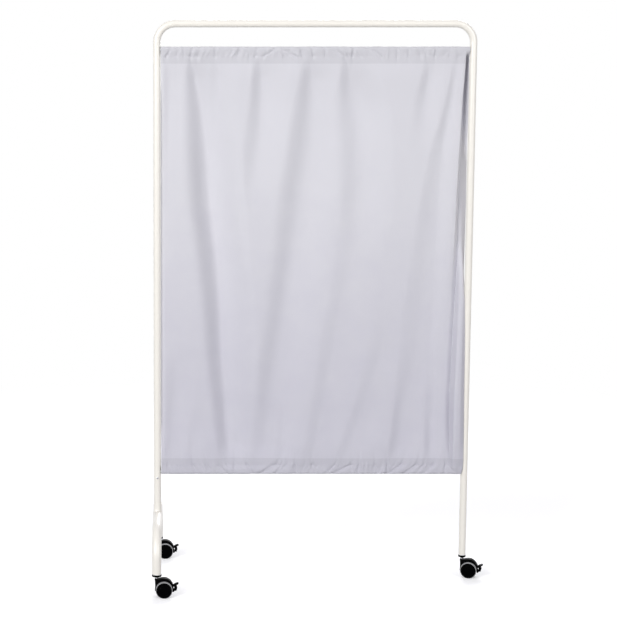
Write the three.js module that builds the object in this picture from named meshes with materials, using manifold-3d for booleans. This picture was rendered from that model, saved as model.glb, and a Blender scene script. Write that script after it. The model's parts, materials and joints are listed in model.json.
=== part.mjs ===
// Ward privacy screen on wheels: a bent tube frame with a gathered cloth between
// two rods, an arched foot under the left leg, and three braked twin-wheel casters.
// Millimetres, +Z up. +X runs along the cloth and -Y faces the viewer.
import * as THREE from "three";
import { mergeVertices } from "three/addons/utils/BufferGeometryUtils.js";
import Module from "manifold-3d";

const wasm = await Module();
wasm.setup();

// Frame
const OVERALL_HEIGHT = 1700;
const LEG_SPACING = 942;
const FRAME_TUBE_DIAMETER = 22;
const FRAME_TUBE_WALL = 1.2;
const FRAME_BEND_RADIUS = 55;

// Arched foot under the left leg
const FOOT_TUBE_DIAMETER = 28;
const FOOT_TUBE_WALL = 1.5;
const FOOT_SPREAD = 418;
const FOOT_RISE = 124;
const FOOT_BEND_RADIUS = 90;
const COLLAR_DIAMETER = 25;
const COLLAR_HEIGHT = 22;
const SPIGOT_WALL = 1.8;
const SPIGOT_UNDER_ROD = 4.4;
const FOOT_SCREW_DIAMETER = 4;
const FOOT_SCREW_HEAD_DIAMETER = 7;
const FOOT_SCREW_HEAD_HEIGHT = 1.8;
const FOOT_SCREW_BELOW_SPIGOT_TOP = 9;

// Rods and cloth
const ROD_DIAMETER = 12;
const ROD_WALL = 1;
const TOP_ROD_DROP = 76;
const BOTTOM_ROD_HEIGHT = 333;
const CLOTH_THICKNESS = 1.2;
const CLOTH_CLEARANCE = 0.4;
const CLOTH_SIDE_GAP = 0.8;
const POCKET_DEPTH = 28;
const HEM_DEPTH = 49;
const FOLD_DEPTH = 16;

// Each fold recedes along a flank to a crease, then comes forward again towards the next
// one. The three values of each list are for the foot, the middle and the top of the cloth.
// Creases and flanks are shares of the cloth's width, and depths shares of the fold depth.
const FOLD_SHARES = [
  { crease: [0.238, 0.18, 0.095], flank: [0.03, 0.04, 0.035], depth: [0.7, 1.1, 0.8] },
  { crease: [0.262, 0.29, 0.33], flank: [0.01, 0.04, 0.05], depth: [0, 0.2, 0.5] },
  { crease: [0.307, 0.42, 0.487], flank: [0.03, 0.06, 0.06], depth: [0.7, 0.95, 0.7] },
  { crease: [0.53, 0.66, 0.6], flank: [0.08, 0.06, 0.05], depth: [0.5, 0.2, 0.6] },
  { crease: [0.605, 0.76, 0.78], flank: [0.03, 0.04, 0.04], depth: [0.4, 0.2, 0] },
  { crease: [0.77, 0.89, 0.955], flank: [0.05, 0.05, 0.05], depth: [0.6, 0.65, 0.5] },
  { crease: [0.958, 0.962, 0.984], flank: [0.02, 0.025, 0.01], depth: [0.4, 0.5, 1.3] },
];

// How far along its flank or its way back the cloth lies, and how deep, from crease to crease
const PROFILE_SHARES = {
  flank: [[1, 0], [0.5, 0.3]],
  back: [[0.35, 0.5], [0.8, 0]],
};
const EASE_SHARE = 0.05;
const LEVEL_SHARES = [0.03, 0.27, 0.5, 0.73, 0.97];

// Caster
const WHEEL_DIAMETER = 50;
const WHEEL_WIDTH = 11;
const WHEEL_TRACK = 31;
const TREAD_THICKNESS = 3;
const TREAD_CHAMFER = 1.6;
const WHEEL_DOME = 1.6;
const WHEEL_GROOVE_RADIUS = 15.5;
const WHEEL_GROOVE_DEPTH = 0.8;
const AXLE_DIAMETER = 6;
const AXLE_BORE_SHARE = 0.7;
const CASTER_TRAIL = 22;
const HOOD_WIDTH = 18;
const HOOD_CROWN_RISE = 33.6;
const HOOD_REAR_REACH = 29;
const HOOD_REAR_END_DEG = 26;
const HOOD_HUB_DIAMETER = 15;
const HOOD_BOSS_DIAMETER = 13;
const HOOD_BOSS_RISE = 31;
const HOOD_SKIRT_DROP = 5;
const HOOD_NECK_LENGTH = 14;
const HOOD_NECK_INSET = 1.5;
const HOOD_NOTCH_COUNT = 4;
const HOOD_NOTCH_RADIUS = 0.9;
const HOOD_NOTCH_FIRST_DEG = 64;
const HOOD_NOTCH_PITCH_DEG = 9;
const HOOD_WEB = 3.2;
const HOOD_RIB = 3;
const HOOD_LUG_RADIUS = 5.5;
const STEM_COLLAR_DIAMETER = 9.4;
const STEM_PIN_DIAMETER = 7;
const STEM_EXPOSED = 8.4;
const STEM_SOCKET_DEPTH = 24;
const FLANGE_THICKNESS = 3.6;
const INSERT_RIM_HEIGHT = 3.4;
const INSERT_BODY_LENGTH = 24;
const INSERT_WALL = 2.2;

// Brake pedal
const PEDAL_WIDTH = 14;
const PEDAL_TAB_WIDTH = 17;
const PEDAL_EYE_DIAMETER = 9;
const PEDAL_PIN_DIAMETER = 3;
const PEDAL_PIVOT_REACH = 20.5;
const PEDAL_PIVOT_RISE = 5;
const PEDAL_TAB_ANGLE_DEG = 31.6;
const PEDAL_TAB_REACH = 24;
const PEDAL_TAB_THICKNESS = 3.8;
const PEDAL_TAB_WIDE_LENGTH = 9;
const PEDAL_LOOP_REACH = 14.8;
const PEDAL_LOOP_DROP = 14;
const PEDAL_WINDOW_WIDTH = 4.4;
const PEDAL_WINDOW_HEIGHT = 8.4;
const PEDAL_WINDOW_REACH = 9;
const PEDAL_WINDOW_DROP = 1.2;
const PEDAL_CLEARANCE = 0.6;

// How each caster has swivelled where the screen stands
const FRONT_HEADING_DEG = 0;
const REAR_HEADING_DEG = 0;
const RIGHT_HEADING_DEG = -16;

// Fits and facets
const SEAT_GAP = 0.3;
const CUT_OVERRUN = 5;
const TUBE_SIDES = 20;
const ROD_SIDES = 12;
const WHEEL_SIDES = 28;
const SMALL_SIDES = 14;
const BEND_STEPS = 7;

// Heights stacked up from the floor. A wheel stands on a flat facet.
const WHEEL_RADIUS = WHEEL_DIAMETER / 2;
const AXLE_HEIGHT = WHEEL_RADIUS * Math.cos(Math.PI / WHEEL_SIDES);
const BOSS_TOP = AXLE_HEIGHT + HOOD_BOSS_RISE;
const FLANGE_BOTTOM = BOSS_TOP + STEM_EXPOSED;
const RIM_BOTTOM = FLANGE_BOTTOM + FLANGE_THICKNESS + SEAT_GAP;
const TUBE_END = RIM_BOTTOM + INSERT_RIM_HEIGHT + SEAT_GAP;

// Frame and foot places
const LEG_X = LEG_SPACING / 2;
const FRAME_RADIUS = FRAME_TUBE_DIAMETER / 2;
const FRAME_BORE_RADIUS = FRAME_RADIUS - FRAME_TUBE_WALL;
const FOOT_RADIUS = FOOT_TUBE_DIAMETER / 2;
const FOOT_BORE_RADIUS = FOOT_RADIUS - FOOT_TUBE_WALL;
const TOP_BAR_Z = OVERALL_HEIGHT - FRAME_RADIUS;
const FOOT_CROWN_Z = TUBE_END + FOOT_RISE;
const LEFT_LEG_END = FOOT_CROWN_Z + FOOT_RADIUS + SEAT_GAP;
const SPIGOT_RADIUS = FRAME_BORE_RADIUS - SEAT_GAP;

// Rod and cloth places
const ROD_RADIUS = ROD_DIAMETER / 2;
const ROD_HOLE_RADIUS = ROD_RADIUS + SEAT_GAP;
const ROD_END_X = LEG_X + FRAME_BORE_RADIUS / 2;
const TOP_ROD_Z = TOP_BAR_Z - TOP_ROD_DROP;
const TUNNEL_RADIUS = ROD_RADIUS + CLOTH_CLEARANCE;
const POCKET_RADIUS = TUNNEL_RADIUS + CLOTH_THICKNESS;
const CLOTH_TOP = TOP_ROD_Z + POCKET_RADIUS;
const CLOTH_BOTTOM = BOTTOM_ROD_HEIGHT - POCKET_RADIUS;
const CLOTH_HALF_WIDTH = LEG_X - FRAME_RADIUS - CLOTH_SIDE_GAP;
const LOW_STITCH_Z = CLOTH_BOTTOM + POCKET_DEPTH;
const HIGH_STITCH_Z = CLOTH_TOP - POCKET_DEPTH;

// The spigot ends just under the bottom rod, which passes through the leg.
const SPIGOT_TOP = BOTTOM_ROD_HEIGHT - ROD_RADIUS - SPIGOT_UNDER_ROD;
const FOOT_SCREW_Z = SPIGOT_TOP - FOOT_SCREW_BELOW_SPIGOT_TOP;
const FOOT_SCREW_HOLE_RADIUS = FOOT_SCREW_DIAMETER / 2 + SEAT_GAP;

// Caster places, measured from the axle
const AXLE_RADIUS = AXLE_DIAMETER / 2;
const STEM_PIN_RADIUS = STEM_PIN_DIAMETER / 2;
const STEM_BORE_RADIUS = STEM_PIN_RADIUS + SEAT_GAP;
const WHEEL_INNER_FACE = (WHEEL_TRACK - WHEEL_WIDTH) / 2;
const CORE_RADIUS = WHEEL_RADIUS - TREAD_THICKNESS;
const AXLE_BORE_DEPTH = WHEEL_WIDTH * AXLE_BORE_SHARE;
const HOOD_HALF = HOOD_WIDTH / 2;
const PEDAL_PIVOT = new THREE.Vector2(PEDAL_PIVOT_REACH, PEDAL_PIVOT_RISE);
const PEDAL_EYE_RADIUS = PEDAL_EYE_DIAMETER / 2;
const PIN_RADIUS = PEDAL_PIN_DIAMETER / 2;
const TAB_ANGLE = THREE.MathUtils.degToRad(PEDAL_TAB_ANGLE_DEG);

const PAINTED = { color: 0xefebe0, roughness: 0.35, metalness: 0.1 };
const CLOTH = { color: 0xcfccd8, roughness: 0.9, metalness: 0 };
const BLACK_NYLON = { color: 0x0c0c0d, roughness: 0.4, metalness: 0 };
const GREY_TREAD = { color: 0x8f8f90, roughness: 0.6, metalness: 0 };
const PALE_PLASTIC = { color: 0xf4f2ec, roughness: 0.45, metalness: 0 };
const CHROME = { color: 0xc9cbd0, roughness: 0.12, metalness: 1 };
const ZINC_STEEL = { color: 0x9ea2a6, roughness: 0.35, metalness: 1 };

// A route through chosen stations, so that bends get many steps and straights one.
class StationRoute extends THREE.Curve {
  constructor(stations) {
    super();
    this.stations = stations;
  }

  getPoint(t, target = new THREE.Vector3()) {
    const last = this.stations.length - 1;
    const place = THREE.MathUtils.clamp(t, 0, 1) * last;
    const index = Math.min(Math.floor(place), last - 1);
    return target.lerpVectors(this.stations[index], this.stations[index + 1], place - index);
  }

  getUtoTmapping(u) {
    return u;
  }
}

function makeMesh(name, geometry, look) {
  const mesh = new THREE.Mesh(geometry, new THREE.MeshStandardMaterial(look));
  mesh.name = name;
  return mesh;
}

function toSolid(geometry) {
  const bare = geometry.clone();
  bare.deleteAttribute("normal");
  bare.deleteAttribute("uv");
  const merged = mergeVertices(bare);
  const vertProperties = new Float32Array(merged.attributes.position.array);
  const triVerts = new Uint32Array(merged.index.array);
  return new wasm.Manifold(new wasm.Mesh({ numProp: 3, vertProperties, triVerts }));
}

function toGeometry(solid) {
  const { vertProperties, triVerts } = solid.getMesh();
  const geometry = new THREE.BufferGeometry();
  geometry.setAttribute("position", new THREE.BufferAttribute(vertProperties, 3));
  geometry.setIndex(new THREE.BufferAttribute(triVerts, 1));
  return geometry;
}

function carve(body, joins, cuts) {
  let solid = toSolid(body);
  for (const piece of joins) solid = solid.add(toSolid(piece));
  for (const piece of cuts) solid = solid.subtract(toSolid(piece));
  return toGeometry(solid);
}

// Corners of a regular ring whose lowest side is flat.
function ringPoints(radius, sides) {
  const points = [];
  for (let i = 0; i < sides; i += 1) {
    const angle = ((i + 0.5) / sides) * Math.PI * 2 - Math.PI / 2;
    points.push(new THREE.Vector2(radius * Math.cos(angle), radius * Math.sin(angle)));
  }
  return points;
}

function sweptRound(stations, outerRadius, boreRadius, sides) {
  const section = new THREE.Shape(ringPoints(outerRadius, sides));
  if (boreRadius > 0) section.holes.push(new THREE.Path(ringPoints(boreRadius, sides).reverse()));
  const steps = stations.length - 1;
  return new THREE.ExtrudeGeometry(section, { steps, extrudePath: new StationRoute(stations) });
}

// A closed profile of [radius, height] pairs turned about Z.
function turned(profile, sides) {
  const geometry = turnedAboutY([...profile, profile[0]], sides);
  geometry.rotateX(Math.PI / 2);
  return geometry;
}

// Flat facets face up, down and along X.
function turnedAboutY(profile, sides) {
  const points = profile.map(([radius, height]) => new THREE.Vector2(radius, height));
  const geometry = new THREE.LatheGeometry(points, sides);
  geometry.rotateY(Math.PI / sides);
  return geometry;
}

function upright(radius, low, high, sides) {
  const geometry = new THREE.CylinderGeometry(radius, radius, high - low, sides);
  geometry.rotateX(Math.PI / 2);
  geometry.translate(0, 0, (low + high) / 2);
  return geometry;
}

function alongX(radius, low, high, sides) {
  const geometry = upright(radius, low, high, sides);
  geometry.rotateY(Math.PI / 2);
  return geometry;
}

// Runs along Y with a flat side underneath.
function alongY(radius, low, high, sides) {
  const geometry = new THREE.CylinderGeometry(radius, radius, high - low, sides);
  geometry.rotateY(Math.PI / sides);
  geometry.translate(0, (low + high) / 2, 0);
  return geometry;
}

// An outline drawn in X and Z, given a thickness along Y about its middle.
function slab(outline, width, curveSegments) {
  const geometry = new THREE.ExtrudeGeometry(outline, { depth: width, bevelEnabled: false, curveSegments });
  geometry.rotateX(Math.PI / 2);
  geometry.translate(0, width / 2, 0);
  return geometry;
}

// Two legs joined by a straight top, bent with one radius at each corner.
function archStations(halfSpan, legLow, otherLegLow, top, bendRadius, place) {
  const stations = [place(-halfSpan, legLow)];
  for (const side of [-1, 1]) {
    for (let i = 0; i <= BEND_STEPS; i += 1) {
      const step = side < 0 ? i : BEND_STEPS - i;
      const turn = (step / BEND_STEPS) * (Math.PI / 2);
      const inward = bendRadius * (1 - Math.cos(turn));
      const rise = bendRadius * Math.sin(turn);
      stations.push(place(side * (halfSpan - inward), top - bendRadius + rise));
    }
  }
  stations.push(place(halfSpan, otherLegLow));
  return stations;
}

function frameTube() {
  const place = (x, z) => new THREE.Vector3(x, 0, z);
  const stations = archStations(LEG_X, LEFT_LEG_END, TUBE_END, TOP_BAR_Z, FRAME_BEND_RADIUS, place);
  const tube = sweptRound(stations, FRAME_RADIUS, FRAME_BORE_RADIUS, TUBE_SIDES);
  const cuts = [];
  for (const z of [TOP_ROD_Z, BOTTOM_ROD_HEIGHT]) {
    const reach = LEG_X - FRAME_RADIUS - CUT_OVERRUN;
    const hole = alongX(ROD_HOLE_RADIUS, -LEG_X, -reach, ROD_SIDES);
    hole.translate(0, 0, z);
    const otherHole = alongX(ROD_HOLE_RADIUS, reach, LEG_X, ROD_SIDES);
    otherHole.translate(0, 0, z);
    cuts.push(hole, otherHole);
  }
  cuts.push(footScrewHole());
  return makeMesh("frame_tube", carve(tube, [], cuts), PAINTED);
}

function footScrewHole() {
  const hole = alongY(FOOT_SCREW_HOLE_RADIUS, -FRAME_RADIUS - CUT_OVERRUN, 0, SMALL_SIDES);
  hole.translate(-LEG_X, 0, FOOT_SCREW_Z);
  return hole;
}

function footStations() {
  const place = (y, z) => new THREE.Vector3(-LEG_X, y, z);
  return archStations(FOOT_SPREAD / 2, TUBE_END, TUBE_END, FOOT_CROWN_Z, FOOT_BEND_RADIUS, place);
}

function footArch() {
  const tube = sweptRound(footStations(), FOOT_RADIUS, FOOT_BORE_RADIUS, TUBE_SIDES);
  return makeMesh("foot_arch", tube, PAINTED);
}

// What stands on the crown of the foot is coped to it with a small gap.
function crownRelief() {
  const reach = COLLAR_DIAMETER;
  const relief = alongY(FOOT_RADIUS + SEAT_GAP, -reach, reach, TUBE_SIDES);
  relief.translate(-LEG_X, 0, FOOT_CROWN_Z);
  return relief;
}

function footSpigot() {
  const bore = SPIGOT_RADIUS - SPIGOT_WALL;
  const profile = [
    [bore, FOOT_CROWN_Z],
    [SPIGOT_RADIUS, FOOT_CROWN_Z],
    [SPIGOT_RADIUS, SPIGOT_TOP],
    [bore, SPIGOT_TOP],
  ];
  const tube = turned(profile, TUBE_SIDES);
  tube.translate(-LEG_X, 0, 0);
  return makeMesh("foot_spigot", carve(tube, [], [crownRelief(), footScrewHole()]), ZINC_STEEL);
}

function footCollar() {
  const bore = FRAME_RADIUS + SEAT_GAP;
  const top = FOOT_CROWN_Z + FOOT_RADIUS + COLLAR_HEIGHT;
  const profile = [
    [bore, FOOT_CROWN_Z],
    [COLLAR_DIAMETER / 2, FOOT_CROWN_Z],
    [COLLAR_DIAMETER / 2, top],
    [bore, top],
  ];
  const ring = turned(profile, TUBE_SIDES);
  ring.translate(-LEG_X, 0, 0);
  return makeMesh("foot_collar", carve(ring, [], [crownRelief()]), PAINTED);
}

function footScrew() {
  const shank = FOOT_SCREW_DIAMETER / 2;
  const head = FOOT_SCREW_HEAD_DIAMETER / 2;
  const seat = FRAME_RADIUS + SEAT_GAP;
  const tip = SPIGOT_RADIUS - SPIGOT_WALL - FOOT_SCREW_DIAMETER / 2;
  const profile = [
    [0, tip],
    [shank, tip],
    [shank, seat],
    [head, seat],
    [head * Math.cos(Math.PI / 6), seat + FOOT_SCREW_HEAD_HEIGHT],
    [0, seat + FOOT_SCREW_HEAD_HEIGHT],
  ];
  const screw = turnedAboutY(profile, SMALL_SIDES);
  screw.rotateX(Math.PI);
  screw.translate(-LEG_X, 0, FOOT_SCREW_Z);
  return makeMesh("foot_screw", screw, ZINC_STEEL);
}

function rod(name, z) {
  const ends = [new THREE.Vector3(-ROD_END_X, 0, z), new THREE.Vector3(ROD_END_X, 0, z)];
  return makeMesh(name, sweptRound(ends, ROD_RADIUS, ROD_RADIUS - ROD_WALL, ROD_SIDES), ZINC_STEEL);
}

// Columns run from the foot of the cloth to its top, five to a fold. Each has its places
// across the cloth and its depths at the foot, the middle and the top.
function clothColumns() {
  const edge = { crease: [1, 1, 1], flank: [0, 0, 0] };
  const columns = [{ places: [0, 0, 0], depths: [0, 0, 0] }];
  FOLD_SHARES.forEach(({ crease, flank, depth }, i) => {
    const next = FOLD_SHARES[i + 1] ?? edge;
    const room = crease.map((at, level) => next.crease[level] - next.flank[level] - at);
    const add = (places, sag) => columns.push({ places, depths: depth.map((most) => most * sag) });
    for (const [out, sag] of PROFILE_SHARES.flank) {
      add(crease.map((at, level) => at - out * flank[level]), sag);
    }
    add(crease, 1);
    for (const [out, sag] of PROFILE_SHARES.back) {
      add(crease.map((at, level) => at + out * room[level]), sag);
    }
  });
  columns.push({ places: [1, 1, 1], depths: [0, 0, 0] });
  return columns;
}

// Reads a list of three values, at the foot, the middle and the top, at any height share.
function alongHeight([foot, middle, top], share) {
  if (share < 0.5) return THREE.MathUtils.lerp(foot, middle, share * 2);
  return THREE.MathUtils.lerp(middle, top, share * 2 - 1);
}

// One side of the cloth from the bottom pocket to the top one, as height and half thickness.
function clothSide() {
  const lowHem = CLOTH_BOTTOM + HEM_DEPTH;
  const highHem = CLOTH_TOP - HEM_DEPTH;
  const levels = LEVEL_SHARES.map((share) => THREE.MathUtils.lerp(lowHem, highHem, share));
  return [
    ...pocketArc(BOTTOM_ROD_HEIGHT, -1),
    [LOW_STITCH_Z, CLOTH_THICKNESS],
    [lowHem, CLOTH_THICKNESS],
    ...levels.map((height) => [height, CLOTH_THICKNESS / 2]),
    [highHem, CLOTH_THICKNESS],
    [HIGH_STITCH_Z, CLOTH_THICKNESS],
    ...pocketArc(TOP_ROD_Z, 1).reverse(),
  ];
}

// Half of an octagon round a rod, from its outer end to where the layers close.
function pocketArc(rodHeight, side) {
  const eighth = Math.PI / 4;
  const radius = POCKET_RADIUS / Math.cos(eighth / 2);
  const arc = [];
  for (let i = 0; i < 3; i += 1) {
    const angle = eighth * (i + 0.5);
    arc.push([rodHeight + side * radius * Math.cos(angle), radius * Math.sin(angle)]);
  }
  return arc;
}

// A closed sheet whose front and back have the same facets, a thickness apart.
function clothSheet() {
  const columns = clothColumns();
  const side = clothSide();
  const rows = side.length;
  const points = [];
  for (const { places, depths } of columns) {
    for (const [height, half] of side) {
      const share = (height - CLOTH_BOTTOM) / (CLOTH_TOP - CLOTH_BOTTOM);
      const x = THREE.MathUtils.lerp(-CLOTH_HALF_WIDTH, CLOTH_HALF_WIDTH, alongHeight(places, share));
      const y = alongHeight(depths, share) * foldEase(height) * FOLD_DEPTH;
      points.push(x, y - half, height, x, y + half, height);
    }
  }
  const front = (column, row) => 2 * (column * rows + row);
  const back = (column, row) => front(column, row) + 1;
  const index = [];
  const quad = (a, b, c, d) => index.push(a, b, c, a, c, d);
  const last = columns.length - 1;
  for (let i = 0; i < last; i += 1) {
    for (let j = 0; j < rows - 1; j += 1) {
      quad(front(i, j), front(i + 1, j), front(i + 1, j + 1), front(i, j + 1));
      index.push(back(i, j), back(i + 1, j + 1), back(i + 1, j));
      index.push(back(i, j), back(i, j + 1), back(i + 1, j + 1));
    }
    quad(back(i, 0), back(i + 1, 0), front(i + 1, 0), front(i, 0));
    quad(front(i, rows - 1), front(i + 1, rows - 1), back(i + 1, rows - 1), back(i, rows - 1));
  }
  for (let j = 0; j < rows - 1; j += 1) {
    quad(front(0, j), front(0, j + 1), back(0, j + 1), back(0, j));
    quad(front(last, j), back(last, j), back(last, j + 1), front(last, j + 1));
  }
  const sheet = new THREE.BufferGeometry();
  sheet.setAttribute("position", new THREE.Float32BufferAttribute(points, 3));
  sheet.setIndex(index);
  return sheet;
}

function curtain() {
  const reach = CLOTH_HALF_WIDTH + CUT_OVERRUN;
  const tunnels = [TOP_ROD_Z, BOTTOM_ROD_HEIGHT].map((z) => {
    const tunnel = alongX(TUNNEL_RADIUS, -reach, reach, ROD_SIDES);
    tunnel.translate(0, 0, z);
    return tunnel;
  });
  return makeMesh("curtain", carve(clothSheet(), [], tunnels), CLOTH);
}

// Folds fade to nothing at the stitching of the two pockets.
function foldEase(height) {
  const share = (height - LOW_STITCH_Z) / (HIGH_STITCH_Z - LOW_STITCH_Z);
  return THREE.MathUtils.smoothstep(Math.min(share, 1 - share), 0, EASE_SHARE);
}

function wheelCore() {
  const bore = AXLE_RADIUS + SEAT_GAP;
  const edge = WHEEL_DOME / 2;
  return turnedAboutY([
    [0, AXLE_BORE_DEPTH],
    [bore, AXLE_BORE_DEPTH],
    [bore, 0],
    [CORE_RADIUS, 0],
    [CORE_RADIUS, WHEEL_WIDTH],
    [CORE_RADIUS - edge, WHEEL_WIDTH + edge],
    [WHEEL_GROOVE_RADIUS + WHEEL_GROOVE_DEPTH, WHEEL_WIDTH + WHEEL_DOME],
    [WHEEL_GROOVE_RADIUS, WHEEL_WIDTH + WHEEL_DOME - WHEEL_GROOVE_DEPTH],
    [WHEEL_GROOVE_RADIUS - WHEEL_GROOVE_DEPTH, WHEEL_WIDTH + WHEEL_DOME],
    [0, WHEEL_WIDTH + WHEEL_DOME + WHEEL_GROOVE_DEPTH],
  ], WHEEL_SIDES);
}

function wheelTread() {
  const bore = CORE_RADIUS + SEAT_GAP;
  const shoulder = WHEEL_RADIUS - TREAD_CHAMFER;
  const profile = [
    [bore, 0],
    [shoulder, 0],
    [WHEEL_RADIUS, TREAD_CHAMFER],
    [WHEEL_RADIUS, WHEEL_WIDTH - TREAD_CHAMFER],
    [shoulder, WHEEL_WIDTH],
    [bore, WHEEL_WIDTH],
  ];
  return turnedAboutY([...profile, profile[0]], WHEEL_SIDES);
}

// Side view of the moulded hood, from the foot of its front skirt round to its underside.
function hoodOutline() {
  const front = -CASTER_TRAIL - HOOD_BOSS_DIAMETER / 2;
  const hub = HOOD_HUB_DIAMETER / 2;
  const rearEnd = THREE.MathUtils.degToRad(HOOD_REAR_END_DEG);
  const outline = new THREE.Shape();
  outline.moveTo(front + HOOD_NECK_INSET / 2, -HOOD_SKIRT_DROP);
  outline.quadraticCurveTo(front + HOOD_NECK_INSET * 2, HOOD_BOSS_RISE / 2, front, HOOD_BOSS_RISE);
  outline.lineTo(front + HOOD_NECK_LENGTH, HOOD_BOSS_RISE);
  outline.quadraticCurveTo(front + HOOD_NECK_LENGTH * 1.5, HOOD_CROWN_RISE, 0, HOOD_CROWN_RISE);
  outline.absellipse(0, 0, HOOD_REAR_REACH, HOOD_CROWN_RISE, Math.PI / 2, rearEnd, true, 0);
  outline.absarc(PEDAL_PIVOT.x, PEDAL_PIVOT.y, HOOD_LUG_RADIUS, TAB_ANGLE, -Math.PI / 2, true);
  outline.lineTo(hub, -hub);
  outline.lineTo(-hub, -hub);
  outline.closePath();
  return outline;
}

// Room for the pedal between the two cheeks that hold its pin.
function pedalRoom() {
  const radius = PEDAL_EYE_RADIUS + PEDAL_CLEARANCE;
  const low = -HOOD_CROWN_RISE;
  const far = HOOD_REAR_REACH * 2;
  const top = new THREE.Vector2(radius, 0).rotateAround(new THREE.Vector2(), TAB_ANGLE + Math.PI / 2);
  const end = new THREE.Vector2(far, 0).rotateAround(new THREE.Vector2(), TAB_ANGLE);
  const room = new THREE.Shape();
  room.moveTo(PEDAL_PIVOT.x - radius, low);
  room.lineTo(PEDAL_PIVOT.x - radius, PEDAL_PIVOT.y);
  room.absarc(PEDAL_PIVOT.x, PEDAL_PIVOT.y, radius, Math.PI, TAB_ANGLE + Math.PI / 2, true);
  room.lineTo(PEDAL_PIVOT.x + top.x + end.x, PEDAL_PIVOT.y + top.y + end.y);
  room.lineTo(PEDAL_PIVOT.x + top.x + end.x, low);
  room.closePath();
  return slab(room, PEDAL_WIDTH + 2 * PEDAL_CLEARANCE, 6);
}

// Hollows in both flanks, hidden by the wheels, that leave a web and one rib between them.
function flankPockets() {
  const inner = HOOD_HUB_DIAMETER / 2 + HOOD_RIB;
  const outer = WHEEL_RADIUS - HOOD_RIB / 2;
  const ribHalf = HOOD_RIB / 2 / inner;
  const deep = HOOD_HALF - HOOD_WEB / 2;
  const spans = [[TAB_ANGLE + ribHalf, Math.PI / 2 - ribHalf], [Math.PI / 2 + ribHalf, Math.PI * 0.66]];
  const pockets = [];
  for (const [from, to] of spans) {
    const hollow = new THREE.Shape();
    hollow.absarc(0, 0, outer, from, to, false);
    hollow.absarc(0, 0, inner, to, from, true);
    hollow.closePath();
    for (const side of [-1, 1]) {
      const pocket = slab(hollow, deep, 4);
      pocket.translate(0, side * (HOOD_WEB / 2 + deep / 2 + SEAT_GAP / 2), 0);
      pockets.push(pocket);
    }
  }
  return pockets;
}

function crownNotches() {
  const notches = [];
  for (let i = 0; i < HOOD_NOTCH_COUNT; i += 1) {
    const angle = THREE.MathUtils.degToRad(HOOD_NOTCH_FIRST_DEG - i * HOOD_NOTCH_PITCH_DEG);
    const notch = alongY(HOOD_NOTCH_RADIUS, -HOOD_WIDTH, HOOD_WIDTH, 6);
    notch.translate(HOOD_REAR_REACH * Math.cos(angle), 0, HOOD_CROWN_RISE * Math.sin(angle));
    notches.push(notch);
  }
  return notches;
}

// Round nose of the hood as seen from above.
function noseTrim() {
  const centre = -CASTER_TRAIL - HOOD_BOSS_DIAMETER / 2 + HOOD_HALF;
  const reach = PEDAL_PIVOT.x + HOOD_REAR_REACH;
  const plan = new THREE.Shape();
  plan.moveTo(reach, -HOOD_HALF - CUT_OVERRUN);
  plan.lineTo(reach, HOOD_HALF + CUT_OVERRUN);
  plan.lineTo(centre, HOOD_HALF + CUT_OVERRUN);
  plan.lineTo(centre, HOOD_HALF);
  plan.absarc(centre, 0, HOOD_HALF, Math.PI / 2, Math.PI * 1.5, false);
  plan.lineTo(centre, -HOOD_HALF - CUT_OVERRUN);
  plan.closePath();
  const height = HOOD_CROWN_RISE * 2 + CUT_OVERRUN;
  const trim = new THREE.ExtrudeGeometry(plan, { depth: height, bevelEnabled: false, curveSegments: 6 });
  trim.translate(0, 0, HOOD_CROWN_RISE + CUT_OVERRUN - height);
  return trim;
}

function hood() {
  const body = toSolid(slab(hoodOutline(), HOOD_WIDTH, 6)).intersect(toSolid(noseTrim()));
  const hubFace = WHEEL_INNER_FACE - SEAT_GAP;
  const hub = alongY(HOOD_HUB_DIAMETER / 2, -hubFace, hubFace, SMALL_SIDES);
  const axleBore = alongY(AXLE_RADIUS + SEAT_GAP, -HOOD_WIDTH, HOOD_WIDTH, SMALL_SIDES);
  const pinBore = alongY(PIN_RADIUS + SEAT_GAP, -HOOD_WIDTH, HOOD_WIDTH, ROD_SIDES);
  pinBore.translate(PEDAL_PIVOT.x, 0, PEDAL_PIVOT.y);
  const socketLow = HOOD_BOSS_RISE - STEM_SOCKET_DEPTH;
  const socketHigh = HOOD_BOSS_RISE + CUT_OVERRUN;
  const socket = upright(STEM_BORE_RADIUS, socketLow, socketHigh, SMALL_SIDES);
  socket.translate(-CASTER_TRAIL, 0, 0);
  const cuts = [pedalRoom(), ...flankPockets(), ...crownNotches(), axleBore, pinBore, socket];
  return carve(toGeometry(body), [hub], cuts);
}

// The pedal is drawn from its pivot: an eye, a tab that rises outward and a loop below it.
function pedalOutline() {
  const half = PEDAL_TAB_THICKNESS / 2;
  const along = new THREE.Vector2(Math.cos(TAB_ANGLE), Math.sin(TAB_ANGLE));
  const up = new THREE.Vector2(-along.y, along.x);
  const at = (reach, rise) => along.clone().multiplyScalar(reach).addScaledVector(up, rise);
  const tip = at(PEDAL_TAB_REACH, PEDAL_EYE_RADIUS - half);
  const outline = new THREE.Shape();
  outline.absarc(0, 0, PEDAL_EYE_RADIUS, -Math.PI / 2, TAB_ANGLE + Math.PI / 2, true);
  outline.absarc(tip.x, tip.y, half, TAB_ANGLE + Math.PI / 2, TAB_ANGLE - Math.PI / 2, true);
  const root = at(PEDAL_TAB_REACH / 2, PEDAL_EYE_RADIUS - 2 * half);
  outline.lineTo(root.x, root.y);
  const low = -PEDAL_LOOP_DROP;
  outline.bezierCurveTo(
    PEDAL_LOOP_REACH * 1.1, 0,
    PEDAL_LOOP_REACH, low * 0.5,
    PEDAL_LOOP_REACH * 0.5, low,
  );
  outline.lineTo(PEDAL_LOOP_REACH * 0.28, low * 0.9);
  outline.lineTo(PEDAL_LOOP_REACH * 0.3, low * 0.45);
  outline.closePath();
  return outline;
}

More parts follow.
